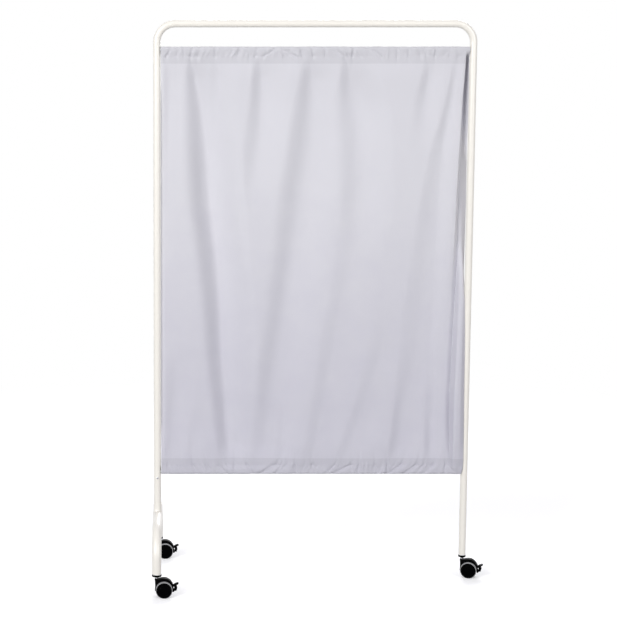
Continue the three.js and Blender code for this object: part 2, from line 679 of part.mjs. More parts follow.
function pedalWindow() {
  const opening = alongY(1, -HOOD_WIDTH, HOOD_WIDTH, SMALL_SIDES);
  opening.scale(PEDAL_WINDOW_WIDTH / 2, 1, PEDAL_WINDOW_HEIGHT / 2);
  opening.translate(PEDAL_WINDOW_REACH, 0, -PEDAL_WINDOW_DROP);
  return opening;
}

function pedal() {
  const body = slab(pedalOutline(), PEDAL_WIDTH, 6);
  const tab = new THREE.BoxGeometry(PEDAL_TAB_WIDE_LENGTH, PEDAL_TAB_WIDTH, PEDAL_TAB_THICKNESS);
  const middle = PEDAL_TAB_REACH - PEDAL_TAB_WIDE_LENGTH / 2;
  tab.translate(middle, 0, PEDAL_EYE_RADIUS - PEDAL_TAB_THICKNESS / 2);
  tab.rotateY(-TAB_ANGLE);
  const bore = alongY(PIN_RADIUS + SEAT_GAP, -HOOD_WIDTH, HOOD_WIDTH, ROD_SIDES);
  const geometry = carve(body, [tab], [bore, pedalWindow()]);
  geometry.translate(PEDAL_PIVOT.x, 0, PEDAL_PIVOT.y);
  return geometry;
}

// What stays with the leg: a pale insert in the tube's end, a black flange and the stem.
function casterFixings(name, tubeRadius, tubeWall) {
  const fixings = new THREE.Group();
  const bore = STEM_BORE_RADIUS;
  const rimTop = RIM_BOTTOM + INSERT_RIM_HEIGHT;
  const bodyRadius = tubeRadius - tubeWall - SEAT_GAP;
  const insertTop = rimTop + INSERT_BODY_LENGTH;
  const insert = turned([
    [bore, RIM_BOTTOM],
    [tubeRadius, RIM_BOTTOM],
    [tubeRadius, rimTop],
    [bodyRadius, rimTop],
    [bodyRadius, insertTop],
    [bodyRadius - INSERT_WALL, insertTop],
    [bodyRadius - INSERT_WALL, rimTop],
    [bore, rimTop],
  ], TUBE_SIDES);
  const flange = turned([
    [bore, FLANGE_BOTTOM],
    [tubeRadius - FLANGE_THICKNESS / 4, FLANGE_BOTTOM],
    [tubeRadius, FLANGE_BOTTOM + FLANGE_THICKNESS / 4],
    [tubeRadius, FLANGE_BOTTOM + FLANGE_THICKNESS],
    [bore, FLANGE_BOTTOM + FLANGE_THICKNESS],
  ], TUBE_SIDES);
  const stem = stemProfile(insertTop);
  fixings.add(makeMesh(`${name}_insert`, insert, PALE_PLASTIC));
  fixings.add(makeMesh(`${name}_flange`, flange, BLACK_NYLON));
  fixings.add(makeMesh(`${name}_stem`, stem, CHROME));
  return fixings;
}

// A pin with a thicker collar where it shows between the hood and the flange
function stemProfile(top) {
  const low = BOSS_TOP - STEM_SOCKET_DEPTH + SEAT_GAP;
  const collar = STEM_COLLAR_DIAMETER / 2;
  const collarLow = BOSS_TOP + SEAT_GAP;
  const collarHigh = FLANGE_BOTTOM - SEAT_GAP;
  return turned([
    [0, low],
    [STEM_PIN_RADIUS, low],
    [STEM_PIN_RADIUS, collarLow],
    [collar, collarLow],
    [collar, collarHigh],
    [STEM_PIN_RADIUS, collarHigh],
    [STEM_PIN_RADIUS, top],
    [0, top],
  ], SMALL_SIDES);
}

function casterSwivel(name) {
  const swivel = new THREE.Group();
  const axleEnd = WHEEL_INNER_FACE + AXLE_BORE_DEPTH - SEAT_GAP;
  const pin = alongY(PIN_RADIUS, -HOOD_HALF, HOOD_HALF, ROD_SIDES);
  pin.translate(PEDAL_PIVOT.x, 0, PEDAL_PIVOT.y);
  swivel.add(makeMesh(`${name}_hood`, hood(), BLACK_NYLON));
  swivel.add(makeMesh(`${name}_axle`, alongY(AXLE_RADIUS, -axleEnd, axleEnd, SMALL_SIDES), ZINC_STEEL));
  swivel.add(makeMesh(`${name}_brake_pedal`, pedal(), BLACK_NYLON));
  swivel.add(makeMesh(`${name}_pedal_pin`, pin, ZINC_STEEL));
  for (const [place, turn] of [["near", Math.PI], ["far", 0]]) {
    const wheel = new THREE.Group();
    wheel.rotation.z = turn;
    const core = makeMesh(`${name}_${place}_wheel`, wheelCore(), BLACK_NYLON);
    const tread = makeMesh(`${name}_${place}_tread`, wheelTread(), GREY_TREAD);
    core.position.y = WHEEL_INNER_FACE;
    tread.position.y = WHEEL_INNER_FACE;
    wheel.add(core, tread);
    swivel.add(wheel);
  }
  return swivel;
}

function caster({ name, x, y, heading, tubeRadius, tubeWall }) {
  const whole = new THREE.Group();
  whole.position.set(x, y, 0);
  whole.add(casterFixings(name, tubeRadius, tubeWall));
  const turntable = new THREE.Group();
  turntable.rotation.z = THREE.MathUtils.degToRad(heading);
  const swivel = casterSwivel(name);
  swivel.position.set(CASTER_TRAIL, 0, AXLE_HEIGHT);
  turntable.add(swivel);
  whole.add(turntable);
  return whole;
}

const onFoot = { x: -LEG_X, tubeRadius: FOOT_RADIUS, tubeWall: FOOT_TUBE_WALL };
const onLeg = { x: LEG_X, tubeRadius: FRAME_RADIUS, tubeWall: FRAME_TUBE_WALL };
const CASTERS = [
  { name: "front", y: -FOOT_SPREAD / 2, heading: FRONT_HEADING_DEG, ...onFoot },
  { name: "rear", y: FOOT_SPREAD / 2, heading: REAR_HEADING_DEG, ...onFoot },
  { name: "right", y: 0, heading: RIGHT_HEADING_DEG, ...onLeg },
];

const screen = new THREE.Group();
screen.add(frameTube(), rod("top_rod", TOP_ROD_Z), rod("bottom_rod", BOTTOM_ROD_HEIGHT), curtain());
screen.add(footArch(), footSpigot(), footCollar(), footScrew());
for (const place of CASTERS) screen.add(caster(place));

// The origin is the middle of the floor area that the screen covers.
screen.updateMatrixWorld(true);
const extent = new THREE.Box3().setFromObject(screen, true);
const middle = extent.getCenter(new THREE.Vector3());
screen.position.set(-middle.x, -middle.y, -extent.min.z);

export default screen;
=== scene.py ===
# Looks of a ward privacy screen on wheels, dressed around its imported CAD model.
# Metres, +Z up, -Y towards the viewer.
import json
import math

import bmesh
import bpy
import numpy as np
from mathutils import Matrix, Vector

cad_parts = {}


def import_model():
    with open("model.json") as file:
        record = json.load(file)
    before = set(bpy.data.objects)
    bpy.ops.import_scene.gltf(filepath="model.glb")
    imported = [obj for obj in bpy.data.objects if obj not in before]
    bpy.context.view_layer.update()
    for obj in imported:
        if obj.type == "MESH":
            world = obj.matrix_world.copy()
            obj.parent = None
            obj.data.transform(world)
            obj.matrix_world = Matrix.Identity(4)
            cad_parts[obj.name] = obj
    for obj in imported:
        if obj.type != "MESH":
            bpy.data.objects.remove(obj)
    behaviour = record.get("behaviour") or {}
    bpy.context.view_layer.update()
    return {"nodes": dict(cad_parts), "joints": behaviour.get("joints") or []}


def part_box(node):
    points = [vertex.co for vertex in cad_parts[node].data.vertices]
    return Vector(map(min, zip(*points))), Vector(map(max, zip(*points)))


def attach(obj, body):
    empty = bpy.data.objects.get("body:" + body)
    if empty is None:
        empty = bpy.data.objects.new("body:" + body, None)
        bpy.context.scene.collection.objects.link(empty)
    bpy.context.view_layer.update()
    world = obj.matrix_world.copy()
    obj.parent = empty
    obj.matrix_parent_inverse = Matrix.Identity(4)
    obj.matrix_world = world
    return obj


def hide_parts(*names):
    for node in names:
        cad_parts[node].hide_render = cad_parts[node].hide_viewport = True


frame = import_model()

# Camera, fitted to the photograph's frame corners, foot and casters
PHOTO_SIDE_PX = 617
FOCAL_PX = 1576.2
PRINCIPAL_PX = (179.1, 309.7)
SENSOR_WIDTH = 36.0
CAMERA_FROM_MIDDLE = Vector((-0.4046, -4.7478, 1.4304))
CAMERA_PITCH_DEG = 7.17

# Tubes
FRAME_RADIUS = 0.011
FRAME_WALL = 0.0012
FRAME_BEND = 0.055
FOOT_RADIUS = 0.014
FOOT_WALL = 0.0015
FOOT_BEND = 0.090
COLLAR_RADIUS = 0.0125
COLLAR_LEVELS = 9
WELD_BEAD = 0.0022
WELD_STEEPNESS = 3
TUBE_SIDES = 48
BEND_STEPS = 24
SEAT_GAP = 0.0003

# Screw that holds the left leg to the foot
SCREW_HEAD_RADIUS = 0.0035
SCREW_HEAD_HEIGHT = 0.0018
SCREW_FLAT_RADIUS = 0.0012
SCREW_EDGE_SHARE = 0.35
SCREW_STEPS = 6
SCREW_SIDES = 40
SCREW_RECESS_LENGTH = 0.0036
SCREW_RECESS_WIDTH = 0.0008
SCREW_RECESS_LIFT = 0.00005

# Casters
WHEEL_RADIUS = 0.025
WHEEL_WIDTH = 0.011
TREAD_THICKNESS = 0.003
TREAD_CHAMFER = 0.0016
DISC_LIP = 0.0012
DISC_LIP_CHAMFER = 0.0006
DISC_HUB_RISE = 0.0026
WHEEL_SIDES = 84
WHEEL_GROOVE_RADIUS = 0.0155
STEM_COLLAR_RADIUS = 0.0047
STEM_PIN_RADIUS = 0.0035
FLANGE_THICKNESS = 0.0044
FLANGE_DROP = 0.0021
FLANGE_PROUD = 0.0006
FLANGE_CHAMFER = 0.0016
NECK_RADIUS = 0.0062
NECK_HEIGHT = 0.0016
RIM_HEIGHT = 0.0026
EDGE_ROUNDING = 0.0006
FINE_EDGE_ROUNDING = 0.0005
FILLET_SHARE = 0.45
SHARP_DEG = 35
PEDAL_TAB_DEG = 31.6
PEDAL_TAB_START = 0.013
PEDAL_TAB_RISE = 0.0026
PEDAL_TAB_TURN_DEG = -11
PEDAL_TAB_SLIM = 0.8
PEDAL_TAB_THICKEN = 1.15
PEDAL_FILL = [(0.0124, 0.0058), (0.0145, -0.0012), (0.0116, -0.0088)]
PEDAL_FILL_THICKNESS = 0.0082
PEDAL_WIDTH = 0.014
MOULDING_VOXEL = 0.00045
MOULDING_SMOOTHING = 6

# Dome of a wheel's disc across its ring groove: distances out from the groove's radius, and rises
# over the tread's side
DISC_DOME = [
    (0.0032, 0.0016),
    (0.0014, 0.0016),
    (0.0007, 0.0008),
    (-0.0007, 0.0008),
    (-0.0014, 0.0018),
    (-0.0050, 0.0023),
]

# Cloth
STITCH_DEPTH = 0.028
HEM_DEPTH = 0.049
LAYER_GAP = 0.0011
CLOTH_THICKNESS = 0.0006
SIDE_GAP = 0.0008
TUBE_CLEARANCE = 0.0007
COLUMN_PITCH = 0.002
ROW_PITCH = 0.006
POCKET_ROW_PITCH = 0.002
POCKET_TURN_STEPS = 16
POCKET_SQUARENESS = 0.62
FOLD_COLUMNS = 66
BILLOW = 0.006
LEFT_CURL = 0.0016
LEFT_CURL_WIDTH = 0.013
FLANK_STEPS = 81
FLANK_POWER = 3
FOLD_SOFTENING = 4
FOLDS_END_OVER = 0.05
FREE_FROM_LEG = 0.012
HELD_OVER = 0.010

# Stitches
STITCH_LENGTH = 0.0028
STITCH_PITCH = 0.0038
STITCH_RADIUS = 0.00028
STITCH_START = 0.002
HEM_SEAM_INSET = 0.002
STITCH_SECTION_SHARES = [(-1.6, 0), (-0.6, 1), (0.4, 0), (-0.6, -1)]

# Folds. Each is a soft flank that goes away from the viewer, with a long easy return on its right:
# a lean, the length of the return, and rows from the foot up. A row is a height share, the share
# across where the flank is steepest, its width, and its slope there.
FOLDS = [
    (0.62, 0.110, [
        (0, 0.214, 0.050, 0.62), (0.08, 0.203, 0.055, 0.72),
        (0.176, 0.191, 0.062, 0.80), (0.296, 0.175, 0.070, 0.86),
        (0.414, 0.166, 0.076, 0.94), (0.532, 0.149, 0.080, 1.00),
        (0.649, 0.128, 0.086, 1.02), (0.764, 0.118, 0.082, 0.98),
        (0.879, 0.105, 0.060, 0.92), (0.936, 0.096, 0.040, 0.88),
        (1, 0.091, 0.020, 0.60),
    ]),
    (0.5, 0.090, [
        (0.50, 0.262, 0.050, 0), (0.649, 0.275, 0.054, 0.13),
        (0.764, 0.291, 0.062, 0.34), (0.879, 0.307, 0.052, 0.54),
        (0.936, 0.309, 0.038, 0.68), (1, 0.311, 0.022, 0.55),
    ]),
    (0.5, 0.120, [
        (0, 0.300, 0.060, 0.34), (0.08, 0.314, 0.070, 0.36),
        (0.176, 0.331, 0.080, 0.33), (0.296, 0.358, 0.080, 0.37),
        (0.414, 0.380, 0.080, 0.40), (0.532, 0.401, 0.086, 0.42),
        (0.649, 0.420, 0.092, 0.44), (0.764, 0.444, 0.090, 0.45),
        (0.879, 0.463, 0.068, 0.54), (0.936, 0.469, 0.046, 0.64),
        (1, 0.474, 0.026, 0.50),
    ]),
    (0.5, 0.100, [
        (0, 0.480, 0.045, 0.20), (0.08, 0.499, 0.045, 0.22),
        (0.176, 0.520, 0.052, 0.18), (0.296, 0.546, 0.055, 0.18),
        (0.414, 0.575, 0.055, 0.12), (0.532, 0.608, 0.060, 0.14),
        (0.649, 0.612, 0.090, 0.28), (0.764, 0.606, 0.092, 0.40),
        (0.879, 0.599, 0.074, 0.62), (0.936, 0.595, 0.042, 0.74),
        (1, 0.592, 0.024, 0.60),
    ]),
    (0.5, 0.090, [
        (0, 0.585, 0.040, 0.22), (0.08, 0.614, 0.042, 0.20),
        (0.176, 0.663, 0.050, 0.13), (0.296, 0.710, 0.050, 0.12),
        (0.414, 0.740, 0.055, 0),
    ]),
    (0.3, 0.090, [
        (0, 0.754, 0.045, 0.42), (0.08, 0.772, 0.045, 0.42),
        (0.176, 0.788, 0.052, 0.32), (0.296, 0.814, 0.085, 0.20),
        (0.414, 0.833, 0.096, 0.20), (0.532, 0.853, 0.092, 0.22),
        (0.649, 0.872, 0.078, 0.28), (0.764, 0.898, 0.064, 0.34),
        (0.879, 0.940, 0.052, 0.62), (0.936, 0.950, 0.038, 0.62),
        (1, 0.952, 0.024, 0.40),
    ]),
    (0.5, 0.050, [
        (0.764, 0.830, 0.050, 0), (0.879, 0.843, 0.044, 0.34),
        (0.936, 0.857, 0.034, 0.46), (1, 0.864, 0.022, 0.34),
    ]),
    (0.5, 0.040, [
        (0, 0.884, 0.035, 0.56), (0.08, 0.889, 0.037, 0.54),
        (0.176, 0.893, 0.043, 0.44), (0.296, 0.898, 0.043, 0),
    ]),
    (0.15, 0.080, [
        (0.40, 0.004, 0.020, 0), (0.60, 0.006, 0.022, 0.14),
        (0.76, 0.008, 0.026, 0.26), (0.88, 0.011, 0.034, 0.40),
        (0.936, 0.012, 0.036, 0.40), (1, 0.012, 0.026, 0.30),
    ]),
    (0.5, 0.060, [
        (0.80, 0.172, 0.034, 0), (0.879, 0.172, 0.034, 0.16),
        (0.936, 0.172, 0.030, 0.30), (1, 0.172, 0.022, 0.26),
    ]),
    (0.4, 0.060, [
        (0, 0.022, 0.034, 0.16), (0.10, 0.024, 0.036, 0.24),
        (0.18, 0.026, 0.040, 0.30), (0.30, 0.028, 0.040, 0),
    ]),
    (0.5, 0.045, [
        (0, 0.092, 0.028, 0.30), (0.08, 0.098, 0.028, 0.20),
        (0.16, 0.104, 0.028, 0),
    ]),
    (0.5, 0.040, [
        (0, 0.244, 0.026, 0.24), (0.08, 0.250, 0.026, 0.22),
        (0.20, 0.252, 0.026, 0),
    ]),
    (0.5, 0.045, [
        (0, 0.386, 0.028, 0.26), (0.08, 0.392, 0.028, 0.22),
        (0.17, 0.400, 0.028, 0),
    ]),
]

# Plan of the cloth's last stretch, beside the right leg, from the foot up: height share, then
# pairs in millimetres, each a distance from the leg's axis and a depth away from the viewer.
RIGHT_FOLD = [
    (0.000, (60, 0), (48, 0), (44, 0), (40, -0.5), (34, -2), (26, -4), (18, -6), (10.2, -8.0)),
    (0.015, (62, 0), (53, 1), (49, 2), (45, 2.5), (38.5, -9), (31, -12.5), (18, -12), (6.4, -11.8)),
    (0.033, (65, 0), (56, 1), (50, 3), (45, 4.5), (38, -16), (31, -17.5), (18, -16.5), (4.6, -12.2)),
    (0.070, (66, 0), (58, 1), (51.5, 3), (46, 5), (38, -23), (31.5, -24), (17.5, -21), (5, -11.8)),
    (0.130, (68, 0), (60, 1), (53, 3.5), (47.5, 5.5), (38.5, -25), (32, -26), (18.5, -23.5), (6, -11.4)),
    (0.200, (69, 0), (61, 1), (54, 4), (47.5, 6), (37.5, -24), (30, -25), (18.5, -23), (7, -10.6)),
    (0.272, (67, 0), (58, 1), (51, 4.5), (44.5, 7), (34.5, -20.5), (27, -23), (17.5, -21), (7.2, -9.8)),
    (0.343, (64, 0), (54.5, 1), (47.5, 6), (42, 9), (32, -15), (24.5, -19), (16.5, -17.5), (8, -8.6)),
    (0.414, (60, 0), (50, 1.5), (43, 8), (37.5, 12), (29.5, -9), (22.5, -13.5), (15.8, -12.5), (9.8, -6)),
    (0.480, (57, 0), (47.5, 2), (40, 10.5), (34.8, 16), (28.5, 3), (21.5, -1), (15.5, 1.5), (11.8, 14)),
    (0.550, (54, 0), (44, 2), (38.5, 12), (34, 20.5), (28, 16.5), (20, 17), (13.5, 20), (9.5, 22.5)),
    (0.649, (48.5, 0), (40.8, 1.5), (36.5, 10.5), (33.4, 20.5), (27, 20), (20, 20.5), (12.5, 22.5),
     (8, 24)),
    (0.740, (43, 0), (37, 0.8), (34.6, 6), (32.4, 16), (26, 18.5), (18, 21), (12.5, 22.5), (8.5, 23.5)),
    (0.790, (39, 0), (33.8, 0.3), (32, 4), (30.6, 18), (25, 21), (17, 22.5), (12.4, 20), (10.6, 14)),
    (0.833, (37, 0), (31.8, 0.3), (30.2, 4), (28.8, 21), (23, 23.5), (15.5, 23), (12.4, 13), (11.9, 1)),
    (0.880, (34, 0), (29.6, 0.2), (28, 4), (26.8, 25), (22, 27), (16, 25), (12.4, 12), (11.9, 0)),
    (0.925, (31, 0), (26.4, 0.2), (24.8, 4), (23.6, 27), (20, 28), (16, 26), (12.4, 12), (11.9, 0)),
    (0.966, (29, 0), (24, 0.2), (22.4, 4), (21.4, 27), (19, 27), (16.5, 24), (12.4, 12), (11.9, 0)),
    (0.982, (29, 0), (23.8, 0.1), (22.4, 3), (21.4, 17), (19, 17), (16.8, 12), (12.6, 5), (11.9, 0)),
    (0.992, (28, 0), (24, 0), (22.6, 2), (21.4, 7), (19, 6), (17, 4), (13, 1.5), (11.9, 0)),
    (1.000, (28, 0), (24, 0), (22.6, 0), (21.4, 0), (19, 0), (17, 0), (14, 0), (11.9, 0)),
]

# Small creases where the rod pockets are gathered. A lean is how far a crease runs to the right
# for each step towards the rod, here by share across the cloth. A deep crease is a share across,
# a lean, a width and a depth. The others are drawn at random between the limits given.
TOP_CREASES = {
    "seed": 5,
    "gaps": (0.007, 0.020),
    "widths": (0.0030, 0.0060),
    "leans": [(0, 0.35), (0.3, 0.2), (0.5, -0.2), (0.6, -0.4), (0.8, -0.1), (1, 0.2)],
    "height": 0.0026,
    "spill": 0.26,
    "reaches": (0.020, 0.070),
    "deep": [
        (0.027, 0.5, 0.0038, 0.0032), (0.056, 0.2, 0.0030, 0.0022),
        (0.074, 0.0, 0.0028, 0.0032), (0.102, 0.3, 0.0034, 0.0050),
        (0.125, 0.3, 0.0032, 0.0032), (0.177, 0.1, 0.0038, 0.0040),
        (0.252, 0.1, 0.0046, 0.0020), (0.285, 0.0, 0.0036, 0.0024),
        (0.311, 0.4, 0.0034, 0.0044), (0.357, 1.5, 0.0034, 0.0036),
        (0.404, -2.2, 0.0034, 0.0042), (0.455, -0.2, 0.0034, 0.0034),
        (0.491, -0.2, 0.0032, 0.0048), (0.532, 0.0, 0.0030, 0.0026),
        (0.573, -1.4, 0.0036, 0.0038), (0.624, 0.2, 0.0036, 0.0052),
        (0.691, -1.4, 0.0040, 0.0036), (0.766, 0.0, 0.0034, 0.0032),
        (0.802, 0.0, 0.0036, 0.0034), (0.857, -0.2, 0.0040, 0.0034),
        (0.890, 0.2, 0.0044, 0.0040), (0.935, 0.0, 0.0040, 0.0028),
    ],
    "puff": 0.0021,
    "edge_lift": 0.30,
}
FOOT_CREASES = {
    "seed": 11,
    "gaps": (0.008, 0.022),
    "widths": (0.0026, 0.0052),
    "leans": [
        (0, 0.3), (0.2, 0.7), (0.3, 0.6), (0.36, -1.2), (0.45, -0.2),
        (0.55, -1), (0.7, -0.2), (0.8, -1.4), (0.9, -1), (1, 0.6),
    ],
    "height": 0.0022,
    "spill": 0.34,
    "reaches": (0.030, 0.100),
    "deep": [
        (0.022, 0.1, 0.0034, 0.0038), (0.112, 0.4, 0.0038, 0.0038),
        (0.208, 0.9, 0.0036, 0.0042), (0.245, 0.1, 0.0032, 0.0028),
        (0.298, 0.7, 0.0034, 0.0058), (0.354, -1.9, 0.0034, 0.0048),
        (0.390, -0.8, 0.0032, 0.0028), (0.449, 0.1, 0.0034, 0.0026),
        (0.511, 0.4, 0.0038, 0.0040), (0.563, -1.1, 0.0036, 0.0034),
        (0.602, -2.0, 0.0036, 0.0034), (0.720, 0.3, 0.0034, 0.0028),
        (0.756, 0.1, 0.0034, 0.0046), (0.779, -1.5, 0.0032, 0.0042),
        (0.830, -1.4, 0.0034, 0.0048), (0.862, -1.0, 0.0034, 0.0036),
        (0.892, -1.1, 0.0034, 0.0046), (0.949, 0.0, 0.0034, 0.0038),
    ],
    "puff": 0.0018,
    "edge_lift": 0.05,
}
MOST_CREASES = 120
LEAN_SCATTER = 0.25
LEAST_HEIGHT_SHARE = 0.3
RIDGE_SHARE = 0.65
CREASE_POWER = 1.5

# How creases change past the stitching, towards the rod
CREASE_FADE = 0.2
CREASE_WIDENS = 0.6
CREASE_INWARD = 0.0011
CREASE_INWARD_STITCH = 0.0030
PUFF_REACH = 0.022
STITCH_HOLD = 0.012
LIFT_REACH = 0.016
TURNED_FROM = 0.006

# How creases run out into the hem and the open cloth
SPILL_REACH = 0.006
SPILL_WIDENS = 1.2
SPILL_NARROWS = 0.5
SPILL_NARROW_REACH = 0.02
SPILL_LEAN = 0.25
SPILL_ROOM = 0.35

# How the cloth comes forward over the rods
HEM_FORWARD = 0.007
HEM_FORWARD_REACH = 0.16
FOLD_KEPT_AT_ROD = 0.35
FOLD_SLACK_REACH = 0.07

# Light and floor
WORLD_STRENGTH = 0.30
WORLD_TINT = (0.92, 0.91, 1.0)
LAMPS = {
    "key_light": ((-3.9, -4.9, 3.4), 2.8, 281),
    "fill_light": ((3.7, -4.9, 3.0), 3.0, 138),
    "back_light": ((0.9, 5.3, 3.4), 3.2, 200),
}
LIGHT_TARGET = (0, 0, 1.0)
FLOOR_SIZE = 30.0
FLOOR_NEAR = 1.2
FLOOR_FAR = 3.6
FLOOR_GLOW = 0.25
FLOOR_TAKES = 1.0
FLOOR_ALBEDO = 0.4


def centre(node):
    low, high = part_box(node)
    return (low + high) / 2


JOINTS = {joint["name"]: joint for joint in frame["joints"]}
TUBE_LOW, TUBE_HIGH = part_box("frame_tube")
FOOT_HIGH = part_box("foot_arch")[1]
CLOTH_LOW, CLOTH_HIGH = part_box("curtain")
LEFT_X = centre("front_stem").x
RIGHT_X = centre("right_stem").x
MIDDLE_X = (LEFT_X + RIGHT_X) / 2
TOP_BAR_Z = TUBE_HIGH.z - FRAME_RADIUS
FOOT_REACH = abs(centre("front_stem").y)
FOOT_CROWN_Z = FOOT_HIGH.z - FOOT_RADIUS
TUBE_END = TUBE_LOW.z
TOP_ROD_Z = centre("top_rod").z
BOTTOM_ROD_Z = centre("bottom_rod").z
POCKET_RADIUS = CLOTH_HIGH.z - TOP_ROD_Z
CLOTH_TOP = CLOTH_HIGH.z
CLOTH_BOTTOM = CLOTH_LOW.z
CLOTH_LEFT = LEFT_X + FRAME_RADIUS + SIDE_GAP
CLOTH_WIDTH = RIGHT_X - LEFT_X - 2 * (FRAME_RADIUS + SIDE_GAP)


# Materials
def fill(tree, node, sockets):
    """Sets or links a node's inputs, named with _ for each space."""
    for name, value in sockets.items():
        socket = node.inputs[name.replace("_", " ")]
        if isinstance(value, bpy.types.NodeSocket):
            tree.links.new(value, socket)
        else:
            socket.default_value = value


def add_node(tree, kind, **sockets):
    made = tree.nodes.new("ShaderNode" + kind)
    fill(tree, made, sockets)
    return made


def material(name, color, roughness, metallic=0.0, **sockets):
    made = bpy.data.materials.new(name)
    made.use_nodes = True
    shader = made.node_tree.nodes["Principled BSDF"]
    sockets.update(Base_Color=(*color, 1), Roughness=roughness, Metallic=metallic)
    fill(made.node_tree, shader, sockets)
    return made, made.node_tree, shader


def object_coordinates(tree):
    return add_node(tree, "TexCoord").outputs["Object"]


def noise(tree, scale, detail=3.0):
    texture = add_node(tree, "TexNoise", Scale=scale, Detail=detail, Vector=object_coordinates(tree))
    return texture.outputs["Fac"]


def add_bump(tree, shader, height, distance):
    bump = add_node(tree, "Bump", Distance=distance, Height=height)
    tree.links.new(bump.outputs["Normal"], shader.inputs["Normal"])


def mix_colors(tree, factor, first, second, socket):
    mix = add_node(tree, "Mix")
    mix.data_type = "RGBA"
    fill(tree, mix, {"A": (*first, 1), "B": (*second, 1), "Factor": factor})
    tree.links.new(mix.outputs["Result"], socket)


def vary_color(tree, shader, factor, dark, light):
    mix_colors(tree, factor, dark, light, shader.inputs["Base Color"])


def vary_roughness(tree, shader, factor, low, high):
    spread = add_node(tree, "MapRange", Value=factor, To_Min=low, To_Max=high)
    tree.links.new(spread.outputs["Result"], shader.inputs["Roughness"])


def powder_coat():
    made, tree, shader = material(
        "powder_coat", (0.90, 0.868, 0.795), 0.34, Coat_Weight=1.0, Coat_Roughness=0.38, Coat_IOR=1.55
    )
    vary_color(tree, shader, noise(tree, 40), (0.885, 0.853, 0.78), (0.915, 0.883, 0.81))
    add_bump(tree, shader, noise(tree, 900), 0.00004)
    return made


def woven(name, share):
    """Plain weave. Its colour runs from a paler head to a slightly deeper foot: painted shade for the
    light falling off towards the floor, with a random mottle of the cloth's own tone laid over it.
    """
    foot, head = (tuple(share * channel for channel in color) for color in (CLOTH_SHADED_FOOT, CLOTH_LIT_HEAD))
    made, tree, shader = material(
        name, head, 0.92, Sheen_Weight=0.12, Sheen_Roughness=0.5, Specular_IOR_Level=0.2
    )
    apart = add_node(tree, "SeparateXYZ", Vector=object_coordinates(tree))
    # Painted shade: the colour darkens with height towards the foot, mixed with a random mottle of the
    # cloth's own tone.
    rise = add_node(
        tree, "MapRange", Value=apart.outputs["Z"], From_Min=CLOTH_BOTTOM, From_Max=CLOTH_TOP
    )
    rise.interpolation_type = "SMOOTHSTEP"
    mottle_and_shade = add_node(tree, "Math")
    mottle_and_shade.operation = "MULTIPLY_ADD"
    tree.links.new(noise(tree, 14, 5.0), mottle_and_shade.inputs[0])
    mottle_and_shade.inputs[1].default_value = 0.5
    tree.links.new(rise.outputs["Result"], mottle_and_shade.inputs[2])
    vary_color(tree, shader, mottle_and_shade.outputs["Value"], foot, head)
    weave = add_node(tree, "Math")
    weave.operation = "MULTIPLY"
    for direction, socket in zip(("X", "Z"), weave.inputs):
        threads = add_node(
            tree, "TexWave", Scale=420, Distortion=0.6, Vector=object_coordinates(tree)
        )
        threads.bands_direction = direction
        tree.links.new(threads.outputs["Fac"], socket)
    add_bump(tree, shader, weave.outputs["Value"], 0.0001)
    return made


def black_moulding():
    made, tree, shader = material(
        "black_moulding", (0.0012, 0.0012, 0.0014), 0.36, Specular_IOR_Level=0.018
    )
    vary_roughness(tree, shader, noise(tree, 300), 0.3, 0.44)
    add_bump(tree, shader, noise(tree, 2500), 0.00003)
    return made


def black_disc():
    made, tree, shader = material("black_disc", (0.001, 0.001, 0.0012), 0.24, Specular_IOR_Level=0.012)
    vary_roughness(tree, shader, noise(tree, 200), 0.2, 0.3)
    return made


def grey_tread():
    made, tree, shader = material("grey_tread", (0.31, 0.31, 0.315), 0.62)
    vary_color(tree, shader, noise(tree, 500), (0.28, 0.28, 0.285), (0.34, 0.34, 0.345))
    add_bump(tree, shader, noise(tree, 1800), 0.00005)
    return made


def pale_plastic():
    made, tree, shader = material("pale_plastic", (0.94, 0.93, 0.90), 0.4)
    vary_roughness(tree, shader, noise(tree, 400), 0.34, 0.46)
    return made


def shaded_chrome():
    # Painted shade: the stem's chrome gets a dark colour, standing in for the shade in the gap between
    # the flange and the hood, where the stem shows.
    made, tree, shader = material("shaded_chrome", (0.42, 0.42, 0.43), 0.14, 1.0)
    vary_roughness(tree, shader, noise(tree, 300), 0.08, 0.18)
    return made


def zinc_plate():
    made, tree, shader = material("zinc_plate", (0.62, 0.63, 0.64), 0.34, 1.0)
    vary_roughness(tree, shader, noise(tree, 260), 0.26, 0.42)
    return made


# Ends of the cloth's painted shade: a lit, paler head and a shaded, slightly deeper and bluer foot,
# standing in for the light falling off towards the floor.
CLOTH_SHADED_FOOT = (0.588, 0.578, 0.654)
CLOTH_LIT_HEAD = (0.70, 0.695, 0.735)
PAINT = powder_coat()
SINGLE_CLOTH = woven("single_cloth", 1.0)
# The doubled hems and pockets get a darker copy of the cloth: painted shade for the light that two layers
# let through less.
SHADED_DOUBLE_CLOTH = woven("double_cloth_shaded", 0.915)
THREAD = woven("sewing_thread", 0.93)
MOULDING = black_moulding()
DISC = black_disc()
TREAD = grey_tread()
PALE = pale_plastic()
CHROME = shaded_chrome()
ZINC = zinc_plate()


# Mesh helpers
def make_object(name, vertices, faces, finish):
    mesh = bpy.data.meshes.new(name)
    mesh.from_pydata([tuple(v) for v in vertices], [], [tuple(f) for f in faces])
    mesh.update()
    mesh.shade_smooth()
    made = bpy.data.objects.new(name, mesh)
    bpy.context.scene.collection.objects.link(made)
    made.data.materials.append(finish)
    return made


def keep_edges(piece):
    """Smooth shading, with the sharper edges kept."""
    piece.data.set_sharp_from_angle(angle=math.radians(SHARP_DEG))
    return piece


